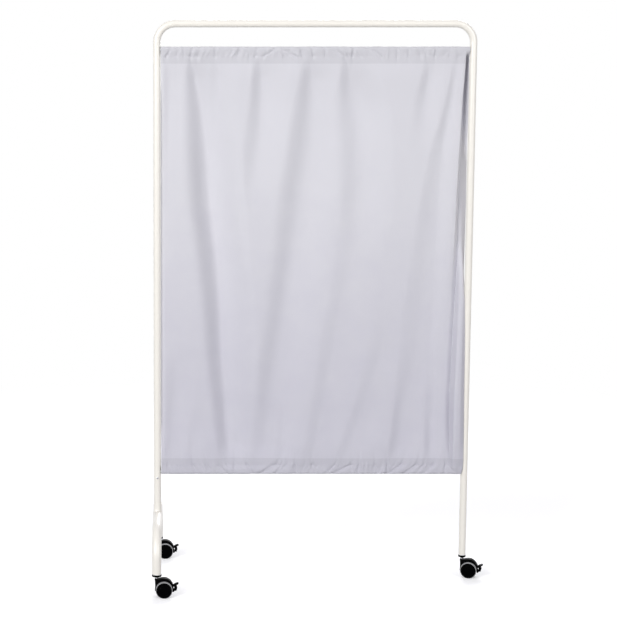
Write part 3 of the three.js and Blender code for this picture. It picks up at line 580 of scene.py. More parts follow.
def bake_modifiers(piece):
    """Replaces the piece's mesh by what its modifiers make of it."""
    bpy.context.view_layer.update()
    graph = bpy.context.evaluated_depsgraph_get()
    done = bpy.data.meshes.new_from_object(piece.evaluated_get(graph))
    piece.modifiers.clear()
    piece.data = done


def dress(piece, body, slot, *nodes):
    """The piece rides on a body and stands for these CAD nodes."""
    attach(piece, body)
    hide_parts(*nodes)


def fillet(points, radius, steps=3, closed=True):
    """A profile with its corners rounded, as far as its sides allow."""
    count = len(points)
    rounded = []
    for i, point in enumerate(points):
        here = Vector(point)
        if not closed and i in (0, count - 1):
            rounded.append(tuple(here))
            continue
        before = Vector(points[i - 1]) - here
        after = Vector(points[(i + 1) % count]) - here
        reach = min(radius, FILLET_SHARE * before.length, FILLET_SHARE * after.length)
        start = here + before.normalized() * reach
        end = here + after.normalized() * reach
        for step in range(steps + 1):
            t = step / steps
            rounded.append(tuple((1 - t) ** 2 * start + 2 * t * (1 - t) * here + t * t * end))
    return rounded


def lathe(name, profile, finish, sides=WHEEL_SIDES, closed=True):
    """Turns [radius, height] pairs about Z. A radius of zero is a point on the axis."""
    vertices = []
    rings = []
    for radius, height in profile:
        first = len(vertices)
        if radius == 0:
            vertices.append((0, 0, height))
            rings.append([first] * sides)
            continue
        for i in range(sides):
            angle = math.tau * i / sides
            vertices.append((radius * math.cos(angle), radius * math.sin(angle), height))
        rings.append(list(range(first, first + sides)))
    pairs = list(zip(rings, rings[1:]))
    if closed:
        pairs.append((rings[-1], rings[0]))
    faces = []
    for low, high in pairs:
        for i in range(sides):
            j = (i + 1) % sides
            corners = tuple(dict.fromkeys((low[i], low[j], high[j], high[i])))
            if len(corners) > 2:
                faces.append(corners)
    return keep_edges(make_object(name, vertices, faces, finish))


def sweep(name, stations, sideways, radii, finish):
    """An open-ended tube along stations in a plane: radii are its outside and its bore."""
    places = [Vector(p) for p in stations]
    across = Vector(sideways)
    vertices = []
    for i, place in enumerate(places):
        before = places[max(i - 1, 0)]
        after = places[min(i + 1, len(places) - 1)]
        outward = (after - before).normalized().cross(across)
        for radius in radii:
            for k in range(TUBE_SIDES):
                angle = math.tau * k / TUBE_SIDES
                vertices.append(place + radius * (math.cos(angle) * across + math.sin(angle) * outward))
    ring = len(radii) * TUBE_SIDES
    faces = []
    for i in range(len(places) - 1):
        for layer in range(len(radii)):
            for k in range(TUBE_SIDES):
                a = i * ring + layer * TUBE_SIDES + k
                b = i * ring + layer * TUBE_SIDES + (k + 1) % TUBE_SIDES
                wall = (a, b, b + ring, a + ring)
                faces.append(wall if layer else wall[::-1])
    for end, turn in ((0, 1), (len(places) - 1, -1)):
        for k in range(TUBE_SIDES):
            a = end * ring + k
            b = end * ring + (k + 1) % TUBE_SIDES
            cap = (a, b, b + TUBE_SIDES, a + TUBE_SIDES)
            faces.append(cap[::turn])
    return keep_edges(make_object(name, vertices, faces, finish))


def arch(half_span, left_end, right_end, top, bend, place):
    stations = [place(-half_span, left_end)]
    for side in (-1, 1):
        for i in range(BEND_STEPS + 1):
            step = i if side < 0 else BEND_STEPS - i
            turn = step / BEND_STEPS * math.pi / 2
            inward = bend * (1 - math.cos(turn))
            rise = bend * math.sin(turn)
            stations.append(place(side * (half_span - inward), top - bend + rise))
    stations.append(place(half_span, right_end))
    return stations


# Frame and foot
def frame_tube():
    left_end = FOOT_HIGH.z + SEAT_GAP
    half_span = (RIGHT_X - LEFT_X) / 2
    stations = arch(
        half_span, left_end, TUBE_END, TOP_BAR_Z, FRAME_BEND, lambda x, z: (MIDDLE_X + x, 0, z)
    )
    radii = (FRAME_RADIUS, FRAME_RADIUS - FRAME_WALL)
    tube = sweep("bent_frame", stations, (0, 1, 0), radii, PAINT)
    dress(tube, "frame", "painted_steel", "frame_tube")


def foot_arch():
    stations = arch(
        FOOT_REACH, TUBE_END, TUBE_END, FOOT_CROWN_Z, FOOT_BEND, lambda y, z: (LEFT_X, y, z)
    )
    radii = (FOOT_RADIUS, FOOT_RADIUS - FOOT_WALL)
    tube = sweep("arched_foot", stations, (1, 0, 0), radii, PAINT)
    dress(tube, "frame", "painted_steel", "foot_arch")


def foot_collar():
    """A sleeve whose foot flares into a bead of weld on the arch's crown."""
    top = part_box("foot_collar")[1].z
    bore = FRAME_RADIUS + SEAT_GAP
    vertices = []
    faces = []
    for i in range(COLLAR_LEVELS + 1):
        share = i / COLLAR_LEVELS
        radius = COLLAR_RADIUS + WELD_BEAD * max(0.0, 1 - share * WELD_STEEPNESS) ** 2
        for k in range(TUBE_SIDES):
            angle = math.tau * k / TUBE_SIDES
            x = radius * math.cos(angle)
            y = radius * math.sin(angle)
            seat = FOOT_CROWN_Z + math.sqrt(max(FOOT_RADIUS ** 2 - x * x, 0)) + SEAT_GAP
            vertices.append((LEFT_X + x, y, seat + (top - seat) * share))
    for k in range(TUBE_SIDES):
        angle = math.tau * k / TUBE_SIDES
        vertices.append((LEFT_X + bore * math.cos(angle), bore * math.sin(angle), top))
    for i in range(COLLAR_LEVELS + 1):
        for k in range(TUBE_SIDES):
            a = i * TUBE_SIDES + k
            b = i * TUBE_SIDES + (k + 1) % TUBE_SIDES
            faces.append((a, b, b + TUBE_SIDES, a + TUBE_SIDES))
    sleeve = keep_edges(make_object("welded_collar", vertices, faces, PAINT))
    dress(sleeve, "frame", "painted_steel", "foot_collar")


def foot_screw():
    """A pan head facing the viewer. Its cross slot is painted shade: a flat black cross lies just in
    front of the head where the slot's shade would be.
    """
    place = centre("foot_screw")
    face = -FRAME_RADIUS - SEAT_GAP - SCREW_HEAD_HEIGHT
    profile = [(0, SCREW_HEAD_HEIGHT), (SCREW_FLAT_RADIUS, SCREW_HEAD_HEIGHT)]
    for i in range(SCREW_STEPS + 1):
        turn = i / SCREW_STEPS * math.pi / 2
        radius = SCREW_FLAT_RADIUS + (SCREW_HEAD_RADIUS - SCREW_FLAT_RADIUS) * math.sin(turn)
        share = SCREW_EDGE_SHARE + (1 - SCREW_EDGE_SHARE) * math.cos(turn)
        profile.append((radius, SCREW_HEAD_HEIGHT * share))
    profile += [(SCREW_HEAD_RADIUS, 0), (0, 0)]
    head = lathe("leg_screw_head", profile, ZINC, SCREW_SIDES, closed=False)
    seat = Matrix.Translation((place.x, face + SCREW_HEAD_HEIGHT, place.z))
    head.matrix_world = seat @ Matrix.Rotation(math.pi / 2, 4, "X")
    dress(head, "frame", "zinc_steel", "foot_screw")
    # Painted shade: a flat black cross just in front of the head, standing in for the shade inside the
    # cross slot.
    half_long = SCREW_RECESS_LENGTH / 2
    half_wide = SCREW_RECESS_WIDTH / 2
    vertices = []
    faces = []
    for long, wide in ((half_long, half_wide), (half_wide, half_long)):
        first = len(vertices)
        for x, z in ((-long, -wide), (long, -wide), (long, wide), (-long, wide)):
            vertices.append((place.x + x, face - SCREW_RECESS_LIFT, place.z + z))
        faces.append((first, first + 1, first + 2, first + 3))
    recess_shade = make_object("leg_screw_recess_shade", vertices, faces, MOULDING)
    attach(recess_shade, "frame")


def plate(*nodes):
    """A zinc finish on CAD pieces that are shown as they are."""
    for node in nodes:
        slots = frame["nodes"][node].data.materials
        slots.clear()
        slots.append(ZINC)


# Cloth
def curve_through(pairs, at):
    """A smooth curve through (place, value) pairs, read at many places."""
    places, values = np.array(pairs, float).T
    slopes = np.gradient(values, places)
    at = np.clip(at, places[0], places[-1])
    k = np.clip(np.searchsorted(places, at, side="right") - 1, 0, len(places) - 2)
    width = places[k + 1] - places[k]
    t = (at - places[k]) / width
    return (
        (2 * t**3 - 3 * t**2 + 1) * values[k]
        + (t**3 - 2 * t**2 + t) * width * slopes[k]
        + (3 * t**2 - 2 * t**3) * values[k + 1]
        + (t**3 - t**2) * width * slopes[k + 1]
    )


def ease(values):
    t = np.clip(values, 0, 1)
    return t * t * (3 - 2 * t)


def flank_profile(lean):
    """Depth across a fold's flank, from 0 to 1, and its slope at the steepest place."""
    grid = np.linspace(0, 1, FLANK_STEPS)
    slope = grid ** (FLANK_POWER * lean) * (1 - grid) ** (FLANK_POWER * (1 - lean))
    depth = np.cumsum(slope)
    return grid, depth / depth[-1], slope.max() / slope.mean()


def fold_depths(across, share):
    """Depth of the folds at places across the cloth, at one height share."""
    depth = np.zeros_like(across)
    for lean, length, rows in FOLDS:
        table = np.array(rows, float)
        place, width, slope = (float(curve_through(table[:, (0, i)], share)) for i in (1, 2, 3))
        grid, profile, peak = flank_profile(lean)
        amount = max(slope, 0.0) * width / peak
        start = place * CLOTH_WIDTH - lean * width
        flank = np.interp((across - start) / width, grid, profile)
        back = 1 - ease((across - start - width) / length)
        depth += amount * flank * back
    depth -= BILLOW * np.sin(np.pi * across / CLOTH_WIDTH)
    return depth + LEFT_CURL * (1 - ease(across / LEFT_CURL_WIDTH))


def soften(values, rounds):
    for _ in range(rounds):
        inner = (values[:-2] + 2 * values[1:-1] + values[2:]) / 4
        values = np.concatenate([values[:1], inner, values[-1:]])
    return values


def right_fold(share):
    """Plan of the cloth's last stretch at one height: places and depths, evenly spread."""
    heights = [row[0] for row in RIGHT_FOLD]
    points = np.array([row[1:] for row in RIGHT_FOLD], float) / 1000
    away, deep = (
        np.array([np.interp(share, heights, points[:, i, axis]) for i in range(points.shape[1])])
        for axis in (0, 1)
    )
    length = np.concatenate([[0], np.cumsum(np.hypot(np.diff(away), np.diff(deep)))])
    at = np.linspace(0, length[-1], FOLD_COLUMNS)
    places = soften(np.interp(at, length, RIGHT_X - away), FOLD_SOFTENING)
    depths = soften(np.interp(at, length, deep), FOLD_SOFTENING)
    return places, depths


def plan(share):
    """Places and depths of the whole width of the cloth at one height share."""
    fold_places, fold_deep = right_fold(share)
    count = int(CLOTH_WIDTH / COLUMN_PITCH)
    places = np.linspace(CLOTH_LEFT, fold_places[0], count)
    ending = ease((places[-1] - places) / FOLDS_END_OVER)
    depths = fold_depths(places - CLOTH_LEFT, share) * ending
    return np.concatenate([places[:-1], fold_places]), np.concatenate([depths[:-1], fold_deep])


class Creases:
    """The small creases of one pocket, each with its own place, lean, width, height and reach."""

    def __init__(self, settings):
        random = np.random.default_rng(settings["seed"])
        places = np.cumsum(random.uniform(*settings["gaps"], MOST_CREASES))
        places = places[places < CLOTH_WIDTH]
        count = len(places)
        leans = curve_through(settings["leans"], places / CLOTH_WIDTH)
        leans = leans + random.normal(0, LEAN_SCATTER, count)
        widths = random.uniform(*settings["widths"], count)
        heights = random.uniform(LEAST_HEIGHT_SHARE, 1.0, count) ** CREASE_POWER * settings["height"]
        signs = np.where(random.uniform(0, 1, count) < RIDGE_SHARE, 1, -1)
        deep = np.array(settings["deep"], float).T
        self.places = np.concatenate([places, deep[0] * CLOTH_WIDTH])
        self.leans = np.concatenate([leans, deep[1]])
        self.widths = np.concatenate([widths, deep[2]]) * np.hypot(1, self.leans)
        self.heights = np.concatenate([signs * heights, -deep[3]])
        self.reaches = random.uniform(*settings["reaches"], len(self.places))
        self.spill = settings["spill"]
        self.puff = settings["puff"]
        self.edge_lift = settings["edge_lift"]

    def relief(self, across, beyond):
        """How far the cloth stands forward. Beyond is the distance past the stitching, towards
        the rod if positive."""
        total = np.zeros_like(across)
        rows = zip(self.places, self.leans, self.widths, self.heights, self.reaches)
        for place, lean, width, height, reach in rows:
            if beyond >= 0:
                turn = math.pi * min(1.0, beyond / STITCH_DEPTH)
                fade = 1 - CREASE_FADE + CREASE_FADE * math.cos(turn)
                spread = width * (1 + CREASE_WIDENS * beyond / STITCH_DEPTH)
                centre_line = place + lean * (beyond - STITCH_DEPTH / 2)
            else:
                spill = self.spill + (1 - self.spill) * math.exp(beyond / SPILL_REACH)
                fade = spill * max(0.0, 1 + beyond / reach) ** CREASE_POWER
                wider = 1 - SPILL_WIDENS * beyond / reach
                narrower = 1 + SPILL_NARROWS * abs(lean) * min(1.0, -beyond / SPILL_NARROW_REACH)
                spread = width * wider / narrower
                centre_line = place + SPILL_LEAN * lean * beyond - lean * STITCH_DEPTH / 2
            away = (across - centre_line) / spread
            total += height * fade * np.exp(-away * away)
        puff = self.puff * float(ease(beyond / PUFF_REACH))
        if beyond < 0:
            room = CREASE_INWARD + CREASE_INWARD_STITCH - SPILL_ROOM * beyond
        else:
            room = CREASE_INWARD + puff + CREASE_INWARD_STITCH * max(0.0, 1 - beyond / STITCH_HOLD)
        return puff + np.maximum(total, -room)


def squarish(part):
    """A sine or cosine of a turn, for a turn that is squarer than a circle."""
    return math.copysign(abs(part) ** POCKET_SQUARENESS, part)


def pocket_rows(stitch_z, rod_z, hem_z):
    """Rows from the hem's edge behind the cloth, round the rod and back to the stitching.

    Each is a height, how far it lies behind the cloth's own plane, and its share of the back.
    """
    up = 1 if rod_z > stitch_z else -1
    rows = []
    for rise in np.arange(0, abs(stitch_z - hem_z), POCKET_ROW_PITCH):
        rows.append((hem_z + up * rise, LAYER_GAP, 0.0))
    straight = abs(rod_z - stitch_z)
    steps = int(straight / POCKET_ROW_PITCH) + 1
    for i in range(steps):
        bulge = math.sin(i / steps * math.pi / 2)
        layer = LAYER_GAP + (POCKET_RADIUS - LAYER_GAP) * bulge
        rows.append((stitch_z + up * i / steps * straight, layer, bulge))
    for i in range(POCKET_TURN_STEPS + 1):
        turn = math.pi * i / POCKET_TURN_STEPS
        across = squarish(math.cos(turn))
        over = squarish(math.sin(turn))
        rows.append((rod_z + up * POCKET_RADIUS * over, POCKET_RADIUS * across, (1 + across) / 2))
    for i in range(steps - 1, 0, -1):
        bulge = math.sin(i / steps * math.pi / 2)
        rows.append((stitch_z + up * i / steps * straight, -POCKET_RADIUS * bulge, 0.0))
    return rows


def cloth_rows():
    top_stitch = CLOTH_TOP - STITCH_DEPTH
    top_hem = CLOTH_TOP - HEM_DEPTH
    low_hem = CLOTH_BOTTOM + HEM_DEPTH
    low_stitch = CLOTH_BOTTOM + STITCH_DEPTH
    heights = list(np.arange(top_stitch, top_hem, -POCKET_ROW_PITCH))
    heights += list(np.arange(top_hem, low_hem, -ROW_PITCH))
    heights += list(np.arange(low_hem, low_stitch, -POCKET_ROW_PITCH))
    middle = [(z, 0.0, 0.0) for z in heights + [low_stitch]]
    top = pocket_rows(top_stitch, TOP_ROD_Z, top_hem)
    low = pocket_rows(low_stitch, BOTTOM_ROD_Z, low_hem)
    return top + middle + low[::-1]


def clear_of_tubes(places, depths):
    """Moves what would lie inside a leg's tube sideways until it is clear of it."""
    reach = FRAME_RADIUS + TUBE_CLEARANCE
    room = np.sqrt(np.maximum(reach**2 - depths**2, 0))
    return np.clip(places, LEFT_X + room, RIGHT_X - room)


def cloth_row(z, layer, behind, top_creases, foot_creases):
    """One row of the cloth's points."""
    share = (z - CLOTH_BOTTOM) / (CLOTH_TOP - CLOTH_BOTTOM)
    places, depths = plan(min(max(share, 0.0), 1.0))
    across = places - CLOTH_LEFT
    past_top = z - (CLOTH_TOP - STITCH_DEPTH)
    past_foot = CLOTH_BOTTOM + STITCH_DEPTH - z
    at_top = past_top > past_foot
    beyond = max(past_top, past_foot)
    creases = top_creases if at_top else foot_creases
    relief = creases.relief(across, beyond)
    lift = np.zeros_like(across)
    main = np.arange(len(places)) < len(places) - FOLD_COLUMNS
    held = np.clip(1 + depths / (POCKET_RADIUS + LAYER_GAP), 0, 1)
    beside_leg = np.clip((RIGHT_X - places - FREE_FROM_LEG) / HELD_OVER, 0, 1)
    held = np.where(main, 1, held * beside_leg)
    if beyond <= 0:
        slack = float(ease(-beyond / FOLD_SLACK_REACH))
        kept = FOLD_KEPT_AT_ROD + (1 - FOLD_KEPT_AT_ROD) * slack
        forward = HEM_FORWARD * float(ease(1 + beyond / HEM_FORWARD_REACH))
        depths = np.where(main, depths * kept, depths) - forward * held - relief
    else:
        straight = abs(CLOTH_TOP - STITCH_DEPTH - TOP_ROD_Z)
        forward = HEM_FORWARD * (1 - math.sin(math.pi / 2 * min(1.0, beyond / straight)))
        left = max(0.0, 1 - beyond / STITCH_HOLD)
        inward = np.maximum(depths, 0) * left * np.where(main, FOLD_KEPT_AT_ROD, 1.0)
        flat = FOLD_KEPT_AT_ROD * np.minimum(depths, 0) * forward / HEM_FORWARD
        outward = np.where(main, flat, np.minimum(depths - min(layer, 0.0), 0) * (1 - behind))
        side = 1 - 2 * behind if beyond > TURNED_FROM else 1.0
        depths = inward + outward - forward * held - side * relief
        edge = max(0.0, beyond - STITCH_HOLD) / LIFT_REACH
        lift = (1 if at_top else -1) * creases.edge_lift * relief * edge
        plain = np.linspace(CLOTH_LEFT, RIGHT_X - FRAME_RADIUS - SIDE_GAP, len(places))
        places = places * (1 - behind) + plain * behind
    depths = depths + layer
    return np.stack([clear_of_tubes(places, depths), depths, z + lift], axis=1)


def curtain():
    top_creases = Creases(TOP_CREASES)
    foot_creases = Creases(FOOT_CREASES)
    levels = cloth_rows()
    rows = [cloth_row(*level, top_creases, foot_creases) for level in levels]
    width = len(rows[0])
    faces = []
    for i in range(len(rows) - 1):
        for k in range(width - 1):
            a = i * width + k
            faces.append((a, a + width, a + width + 1, a + 1))
    cloth = make_object("gathered_cloth", np.concatenate(rows), faces, SINGLE_CLOTH)
    # Rows in the hems and pockets take the darker copy of the cloth, painted shade of the doubled layers.
    cloth.data.materials.append(SHADED_DOUBLE_CLOTH)
    high = CLOTH_TOP - HEM_DEPTH
    low = CLOTH_BOTTOM + HEM_DEPTH
    for polygon in cloth.data.polygons:
        z = polygon.center.z
        polygon.material_index = 1 if z > high or z < low else 0
    solid = cloth.modifiers.new("thickness", "SOLIDIFY")
    solid.thickness = CLOTH_THICKNESS
    solid.offset = 0
    bake_modifiers(cloth)
    dress(cloth, "frame", "curtain_cloth", "curtain")
    front = [row for row, level in zip(rows, levels) if level[1] == 0]
    seams = stitching(front)


def stitching(front):
    """Four rows of stitches, each stitch a small spindle lying on the cloth."""
    vertices = []
    faces = []
    for height in (
        CLOTH_TOP - STITCH_DEPTH,
        CLOTH_TOP - HEM_DEPTH + HEM_SEAM_INSET,
        CLOTH_BOTTOM + STITCH_DEPTH,
        CLOTH_BOTTOM + HEM_DEPTH - HEM_SEAM_INSET,
    ):
        row = min(front, key=lambda r: abs(np.median(r[:, 2]) - height))
        length = np.concatenate([[0], np.cumsum(np.linalg.norm(np.diff(row, axis=0), axis=1))])
        for start in np.arange(STITCH_START, length[-1] - STITCH_LENGTH, STITCH_PITCH):
            ends = [
                np.array([np.interp(s, length, row[:, axis]) for axis in range(3)])
                for s in (start, start + STITCH_LENGTH)
            ]
            middle = (ends[0] + ends[1]) / 2 - np.array([0, CLOTH_THICKNESS / 2, 0])
            first = len(vertices)
            vertices.append(ends[0])
            for y, z in STITCH_SECTION_SHARES:
                vertices.append(middle + np.array([0, y, z]) * STITCH_RADIUS)
            vertices.append(ends[1])
            for k in range(4):
                a = first + 1 + k
                b = first + 1 + (k + 1) % 4
                faces.append((first, b, a))
                faces.append((first + 5, a, b))
    seams = make_object("cloth_stitching", vertices, faces, THREAD)
    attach(seams, "frame")
    return seams


# Casters
def caster_place(name):
    """Where a caster's axle is, as a matrix: local +X is to its rear and +Y along its axle."""
    roll = JOINTS[f"{name}_near_roll"]
    heading = math.atan2(-roll["axis"][0], roll["axis"][1])
    return Matrix.Translation(roll["pos_m"]) @ Matrix.Rotation(heading, 4, "Z")


def wheel(name, side, place):
    """A domed disc with a ring groove and a raised hub, and the tread round it."""
    core_radius = WHEEL_RADIUS - TREAD_THICKNESS
    inner = centre(f"{name}_{side}_tread") - place.translation
    face = inner.length - WHEEL_WIDTH / 2
    lip_radius = core_radius + DISC_LIP
    lip_foot = WHEEL_WIDTH + SEAT_GAP
    disc_profile = [
        (0, 0),
        (core_radius, 0),
        (core_radius, lip_foot),
        (lip_radius, lip_foot),
        (lip_radius - DISC_LIP_CHAMFER, lip_foot + DISC_LIP_CHAMFER),
    ]
    for out, rise in DISC_DOME:
        disc_profile.append((WHEEL_GROOVE_RADIUS + out, WHEEL_WIDTH + rise))
    disc_profile.append((0, WHEEL_WIDTH + DISC_HUB_RISE))
    rounded = fillet(disc_profile, FINE_EDGE_ROUNDING, closed=False)
    disc = lathe(f"{name}_{side}_disc", rounded, DISC, closed=False)
    shoulder = WHEEL_RADIUS - TREAD_CHAMFER
    bore = core_radius + SEAT_GAP
    tread_profile = [
        (bore, 0),
        (shoulder, 0),
        (WHEEL_RADIUS, TREAD_CHAMFER),
        (WHEEL_RADIUS, WHEEL_WIDTH - TREAD_CHAMFER),
        (shoulder, WHEEL_WIDTH),
        (bore, WHEEL_WIDTH),
    ]
    tread = lathe(f"{name}_{side}_tyre", fillet(tread_profile, EDGE_ROUNDING), TREAD)
    outward = -1 if side == "near" else 1
    turn = Matrix.Rotation(-outward * math.pi / 2, 4, "X")
    shift = Matrix.Translation((0, outward * face, 0))
    body = f"{name}_{side}_roller"
    for piece, slot, node in (
        (disc, "black_nylon", f"{name}_{side}_wheel"),
        (tread, "grey_tread", f"{name}_{side}_tread"),
    ):
        piece.matrix_world = place @ shift @ turn
        dress(piece, body, slot, node)


def moulded(name, mesh, finish):
    """A copied CAD mesh with the softened edges of the real moulding."""
    piece = bpy.data.objects.new(name, mesh)
    bpy.context.scene.collection.objects.link(piece)
    remesh = piece.modifiers.new("remesh", "REMESH")
    remesh.mode = "VOXEL"
    remesh.voxel_size = MOULDING_VOXEL
    smooth = piece.modifiers.new("smooth", "SMOOTH")
    smooth.factor = 0.5
    smooth.iterations = MOULDING_SMOOTHING
    bake_modifiers(piece)
    piece.data.shade_smooth()
    piece.data.materials.clear()
    piece.data.materials.append(finish)
    return piece


def pedal_mesh(name):
    """The CAD pedal with a slimmer, flatter tab and a thicker loop round its window."""
    pivot = caster_place(name)
    pivot.translation = Vector(JOINTS[f"{name}_pedal_press"]["pos_m"])
    tab = Matrix.Rotation(-math.radians(PEDAL_TAB_DEG), 4, "Y")
    turn = Matrix.Rotation(-math.radians(PEDAL_TAB_TURN_DEG), 4, "Y")
    from_tab = pivot @ tab
    to_tab = from_tab.inverted()
    root = Vector((PEDAL_TAB_START / 2, 0, PEDAL_TAB_RISE))
    form = bmesh.new()
    form.from_mesh(frame["nodes"][f"{name}_brake_pedal"].data)
    for vertex in form.verts:
        at = to_tab @ vertex.co
        if at.x > PEDAL_TAB_START and at.z > -PEDAL_TAB_RISE:
            at.y *= PEDAL_TAB_SLIM
            at.z = PEDAL_TAB_RISE + (at.z - PEDAL_TAB_RISE) * PEDAL_TAB_THICKEN
            vertex.co = from_tab @ (root + turn @ (at - root))
    rings = []
    for i, (x, z) in enumerate(PEDAL_FILL):
        before = Vector(PEDAL_FILL[max(i - 1, 0)])
        after = Vector(PEDAL_FILL[min(i + 1, len(PEDAL_FILL) - 1)])
        along = (after - before).normalized() * PEDAL_FILL_THICKNESS / 2
        half = PEDAL_WIDTH / 2
        corners = []
        for side, y in ((1, -half), (1, half), (-1, half), (-1, -half)):
            corners.append(form.verts.new(pivot @ Vector((x + side * along.y, y, z - side * along.x))))
        rings.append(corners)
    for low, high in zip(rings, rings[1:]):
        for k in range(4):
            form.faces.new((low[k], low[(k + 1) % 4], high[(k + 1) % 4], high[k]))
    form.faces.new(rings[0][::-1])
    form.faces.new(rings[-1])
    mesh = bpy.data.meshes.new(f"{name}_pedal_form")
    form.to_mesh(mesh)
    form.free()
    return mesh


def stem_fittings(name, tube_radius):
    """The bright stem, the black flange and the pale insert under the tube."""
    place = centre(f"{name}_stem")
    flange_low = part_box(f"{name}_flange")[0].z
    flange_foot = flange_low - FLANGE_DROP
    neck_low = flange_foot - NECK_HEIGHT
    rim_low = flange_low + FLANGE_THICKNESS + SEAT_GAP
    hood_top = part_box(f"{name}_hood")[1].z
    low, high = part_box(f"{name}_stem")
    stem_profile = [
        (0, low.z),
        (STEM_PIN_RADIUS, low.z),
        (STEM_PIN_RADIUS, hood_top + SEAT_GAP),
        (STEM_COLLAR_RADIUS, hood_top + SEAT_GAP),
        (STEM_COLLAR_RADIUS, neck_low - SEAT_GAP),
        (STEM_PIN_RADIUS, neck_low - SEAT_GAP),
        (STEM_PIN_RADIUS, high.z),
        (0, high.z),
    ]
    stem = lathe(f"{name}_bright_stem", stem_profile, CHROME, TUBE_SIDES, closed=False)
    bore = STEM_PIN_RADIUS + SEAT_GAP
    flange_radius = tube_radius + FLANGE_PROUD
    flange_profile = [
        (bore, neck_low),
        (NECK_RADIUS, neck_low),
        (NECK_RADIUS, flange_foot),
        (tube_radius - FLANGE_CHAMFER, flange_foot),
        (flange_radius, flange_foot + FLANGE_THICKNESS / 3),
        (flange_radius, flange_low + FLANGE_THICKNESS),
        (bore, flange_low + FLANGE_THICKNESS),
    ]
    rounded = fillet(flange_profile, EDGE_ROUNDING)
    flange = lathe(f"{name}_black_flange", rounded, MOULDING, TUBE_SIDES)
    rim_profile = [
        (bore, rim_low),
        (tube_radius, rim_low),
        (tube_radius, rim_low + RIM_HEIGHT),
        (bore, rim_low + RIM_HEIGHT),
    ]
    rounded = fillet(rim_profile, FINE_EDGE_ROUNDING)
    rim = lathe(f"{name}_insert_rim", rounded, PALE, TUBE_SIDES)
    for piece, slot, node in (
        (stem, "chrome_steel", f"{name}_stem"),
        (flange, "black_nylon", f"{name}_flange"),
        (rim, "pale_plastic", f"{name}_insert"),
    ):
        piece.location = (place.x, place.y, 0)
        dress(piece, "frame", slot, node)


def caster(name, tube_radius):
    place = caster_place(name)
    stem_fittings(name, tube_radius)
    for side in ("near", "far"):
        wheel(name, side, place)
    hood = moulded(f"{name}_moulded_hood", frame["nodes"][f"{name}_hood"].data.copy(), MOULDING)
    dress(hood, f"{name}_swivel", "black_nylon", f"{name}_hood")
    pedal = moulded(f"{name}_moulded_pedal", pedal_mesh(name), MOULDING)
    dress(pedal, f"{name}_pedal", "black_nylon", f"{name}_brake_pedal")
    plate(f"{name}_axle", f"{name}_pedal_pin")


# Stage
def mix_shaders(tree, factor, first, second):
    mix = add_node(tree, "MixShader", Fac=factor)
    tree.links.new(first.outputs[0], mix.inputs[1])
    tree.links.new(second.outputs[0], mix.inputs[2])
    return mix


def floor_material():
    """White to the camera, with the object's shadow near it, and a plain pale grey to other rays."""
    made = bpy.data.materials.new("studio_floor")
    made.use_nodes = True
    tree = made.node_tree
    tree.nodes.clear()
    plain = add_node(tree, "BsdfDiffuse", Color=(FLOOR_ALBEDO, FLOOR_ALBEDO, FLOOR_ALBEDO, 1))
    shaded = add_node(tree, "BsdfDiffuse", Color=(FLOOR_TAKES, FLOOR_TAKES, FLOOR_TAKES, 1))
    glow = add_node(tree, "Emission", Strength=FLOOR_GLOW)
    near = add_node(tree, "AddShader")
    tree.links.new(shaded.outputs[0], near.inputs[0])
    tree.links.new(glow.outputs[0], near.inputs[1])
    distance = add_node(tree, "VectorMath", Vector=object_coordinates(tree))
    distance.operation = "LENGTH"
    fade = add_node(
        tree, "MapRange", Value=distance.outputs["Value"], From_Min=FLOOR_NEAR, From_Max=FLOOR_FAR
    )
    fade.interpolation_type = "SMOOTHSTEP"
    white = add_node(tree, "Emission")
    seen = mix_shaders(tree, fade.outputs["Result"], near, white)
    chosen = mix_shaders(tree, direct_rays(tree), plain, seen)
    add_node(tree, "OutputMaterial", Surface=chosen.outputs[0])
    return made


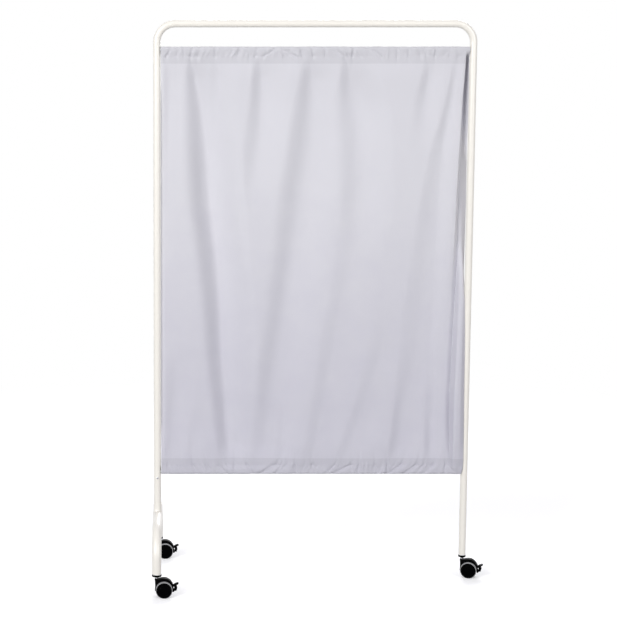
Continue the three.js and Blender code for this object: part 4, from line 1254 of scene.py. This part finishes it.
def direct_rays(tree):
    """1 for camera, glossy and transmission rays, which see the white studio."""
    path = add_node(tree, "LightPath")
    total = path.outputs["Is Camera Ray"]
    for name in ("Is Glossy Ray", "Is Transmission Ray"):
        larger = add_node(tree, "Math")
        larger.operation = "MAXIMUM"
        tree.links.new(total, larger.inputs[0])
        tree.links.new(path.outputs[name], larger.inputs[1])
        total = larger.outputs["Value"]
    return total


def floor():
    half = FLOOR_SIZE / 2
    corners = [(-half, -half, 0), (half, -half, 0), (half, half, 0), (-half, half, 0)]
    make_object("floor", corners, [(0, 1, 2, 3)], floor_material())


def world():
    made = bpy.data.worlds.new("studio")
    bpy.context.scene.world = made
    made.use_nodes = True
    tree = made.node_tree
    background = tree.nodes["Background"]
    seen = direct_rays(tree)
    strength = add_node(tree, "MapRange", Value=seen, To_Min=WORLD_STRENGTH, To_Max=1.0)
    tree.links.new(strength.outputs["Result"], background.inputs["Strength"])
    mix_colors(tree, seen, WORLD_TINT, (1, 1, 1), background.inputs["Color"])


def area_light(name, location, size, power):
    light = bpy.data.lights.new(name, "AREA")
    light.shape = "SQUARE"
    light.size = size
    light.energy = power
    made = bpy.data.objects.new(name, light)
    made.location = location
    aim = Vector(LIGHT_TARGET) - Vector(location)
    made.rotation_euler = aim.to_track_quat("-Z", "Y").to_euler()
    bpy.context.scene.collection.objects.link(made)


def camera():
    data = bpy.data.cameras.new("photo_camera")
    data.sensor_width = SENSOR_WIDTH
    data.lens = FOCAL_PX / PHOTO_SIDE_PX * SENSOR_WIDTH
    data.shift_x = 0.5 - PRINCIPAL_PX[0] / PHOTO_SIDE_PX
    data.shift_y = PRINCIPAL_PX[1] / PHOTO_SIDE_PX - 0.5
    data.clip_end = 100
    made = bpy.data.objects.new("photo_camera", data)
    made.location = CAMERA_FROM_MIDDLE + Vector((MIDDLE_X, 0, 0))
    made.rotation_euler = (math.radians(90 - CAMERA_PITCH_DEG), 0, 0)
    bpy.context.scene.collection.objects.link(made)
    bpy.context.scene.camera = made


camera()
bpy.context.scene.view_settings.view_transform = "Standard"
frame_tube()
foot_arch()
foot_collar()
foot_screw()
plate("top_rod", "bottom_rod", "foot_spigot")
curtain()
caster("front", FOOT_RADIUS)
caster("rear", FOOT_RADIUS)
caster("right", FRAME_RADIUS)
floor()
world()
for lamp, settings in LAMPS.items():
    area_light(lamp, *settings)

bpy.context.view_layer.update()
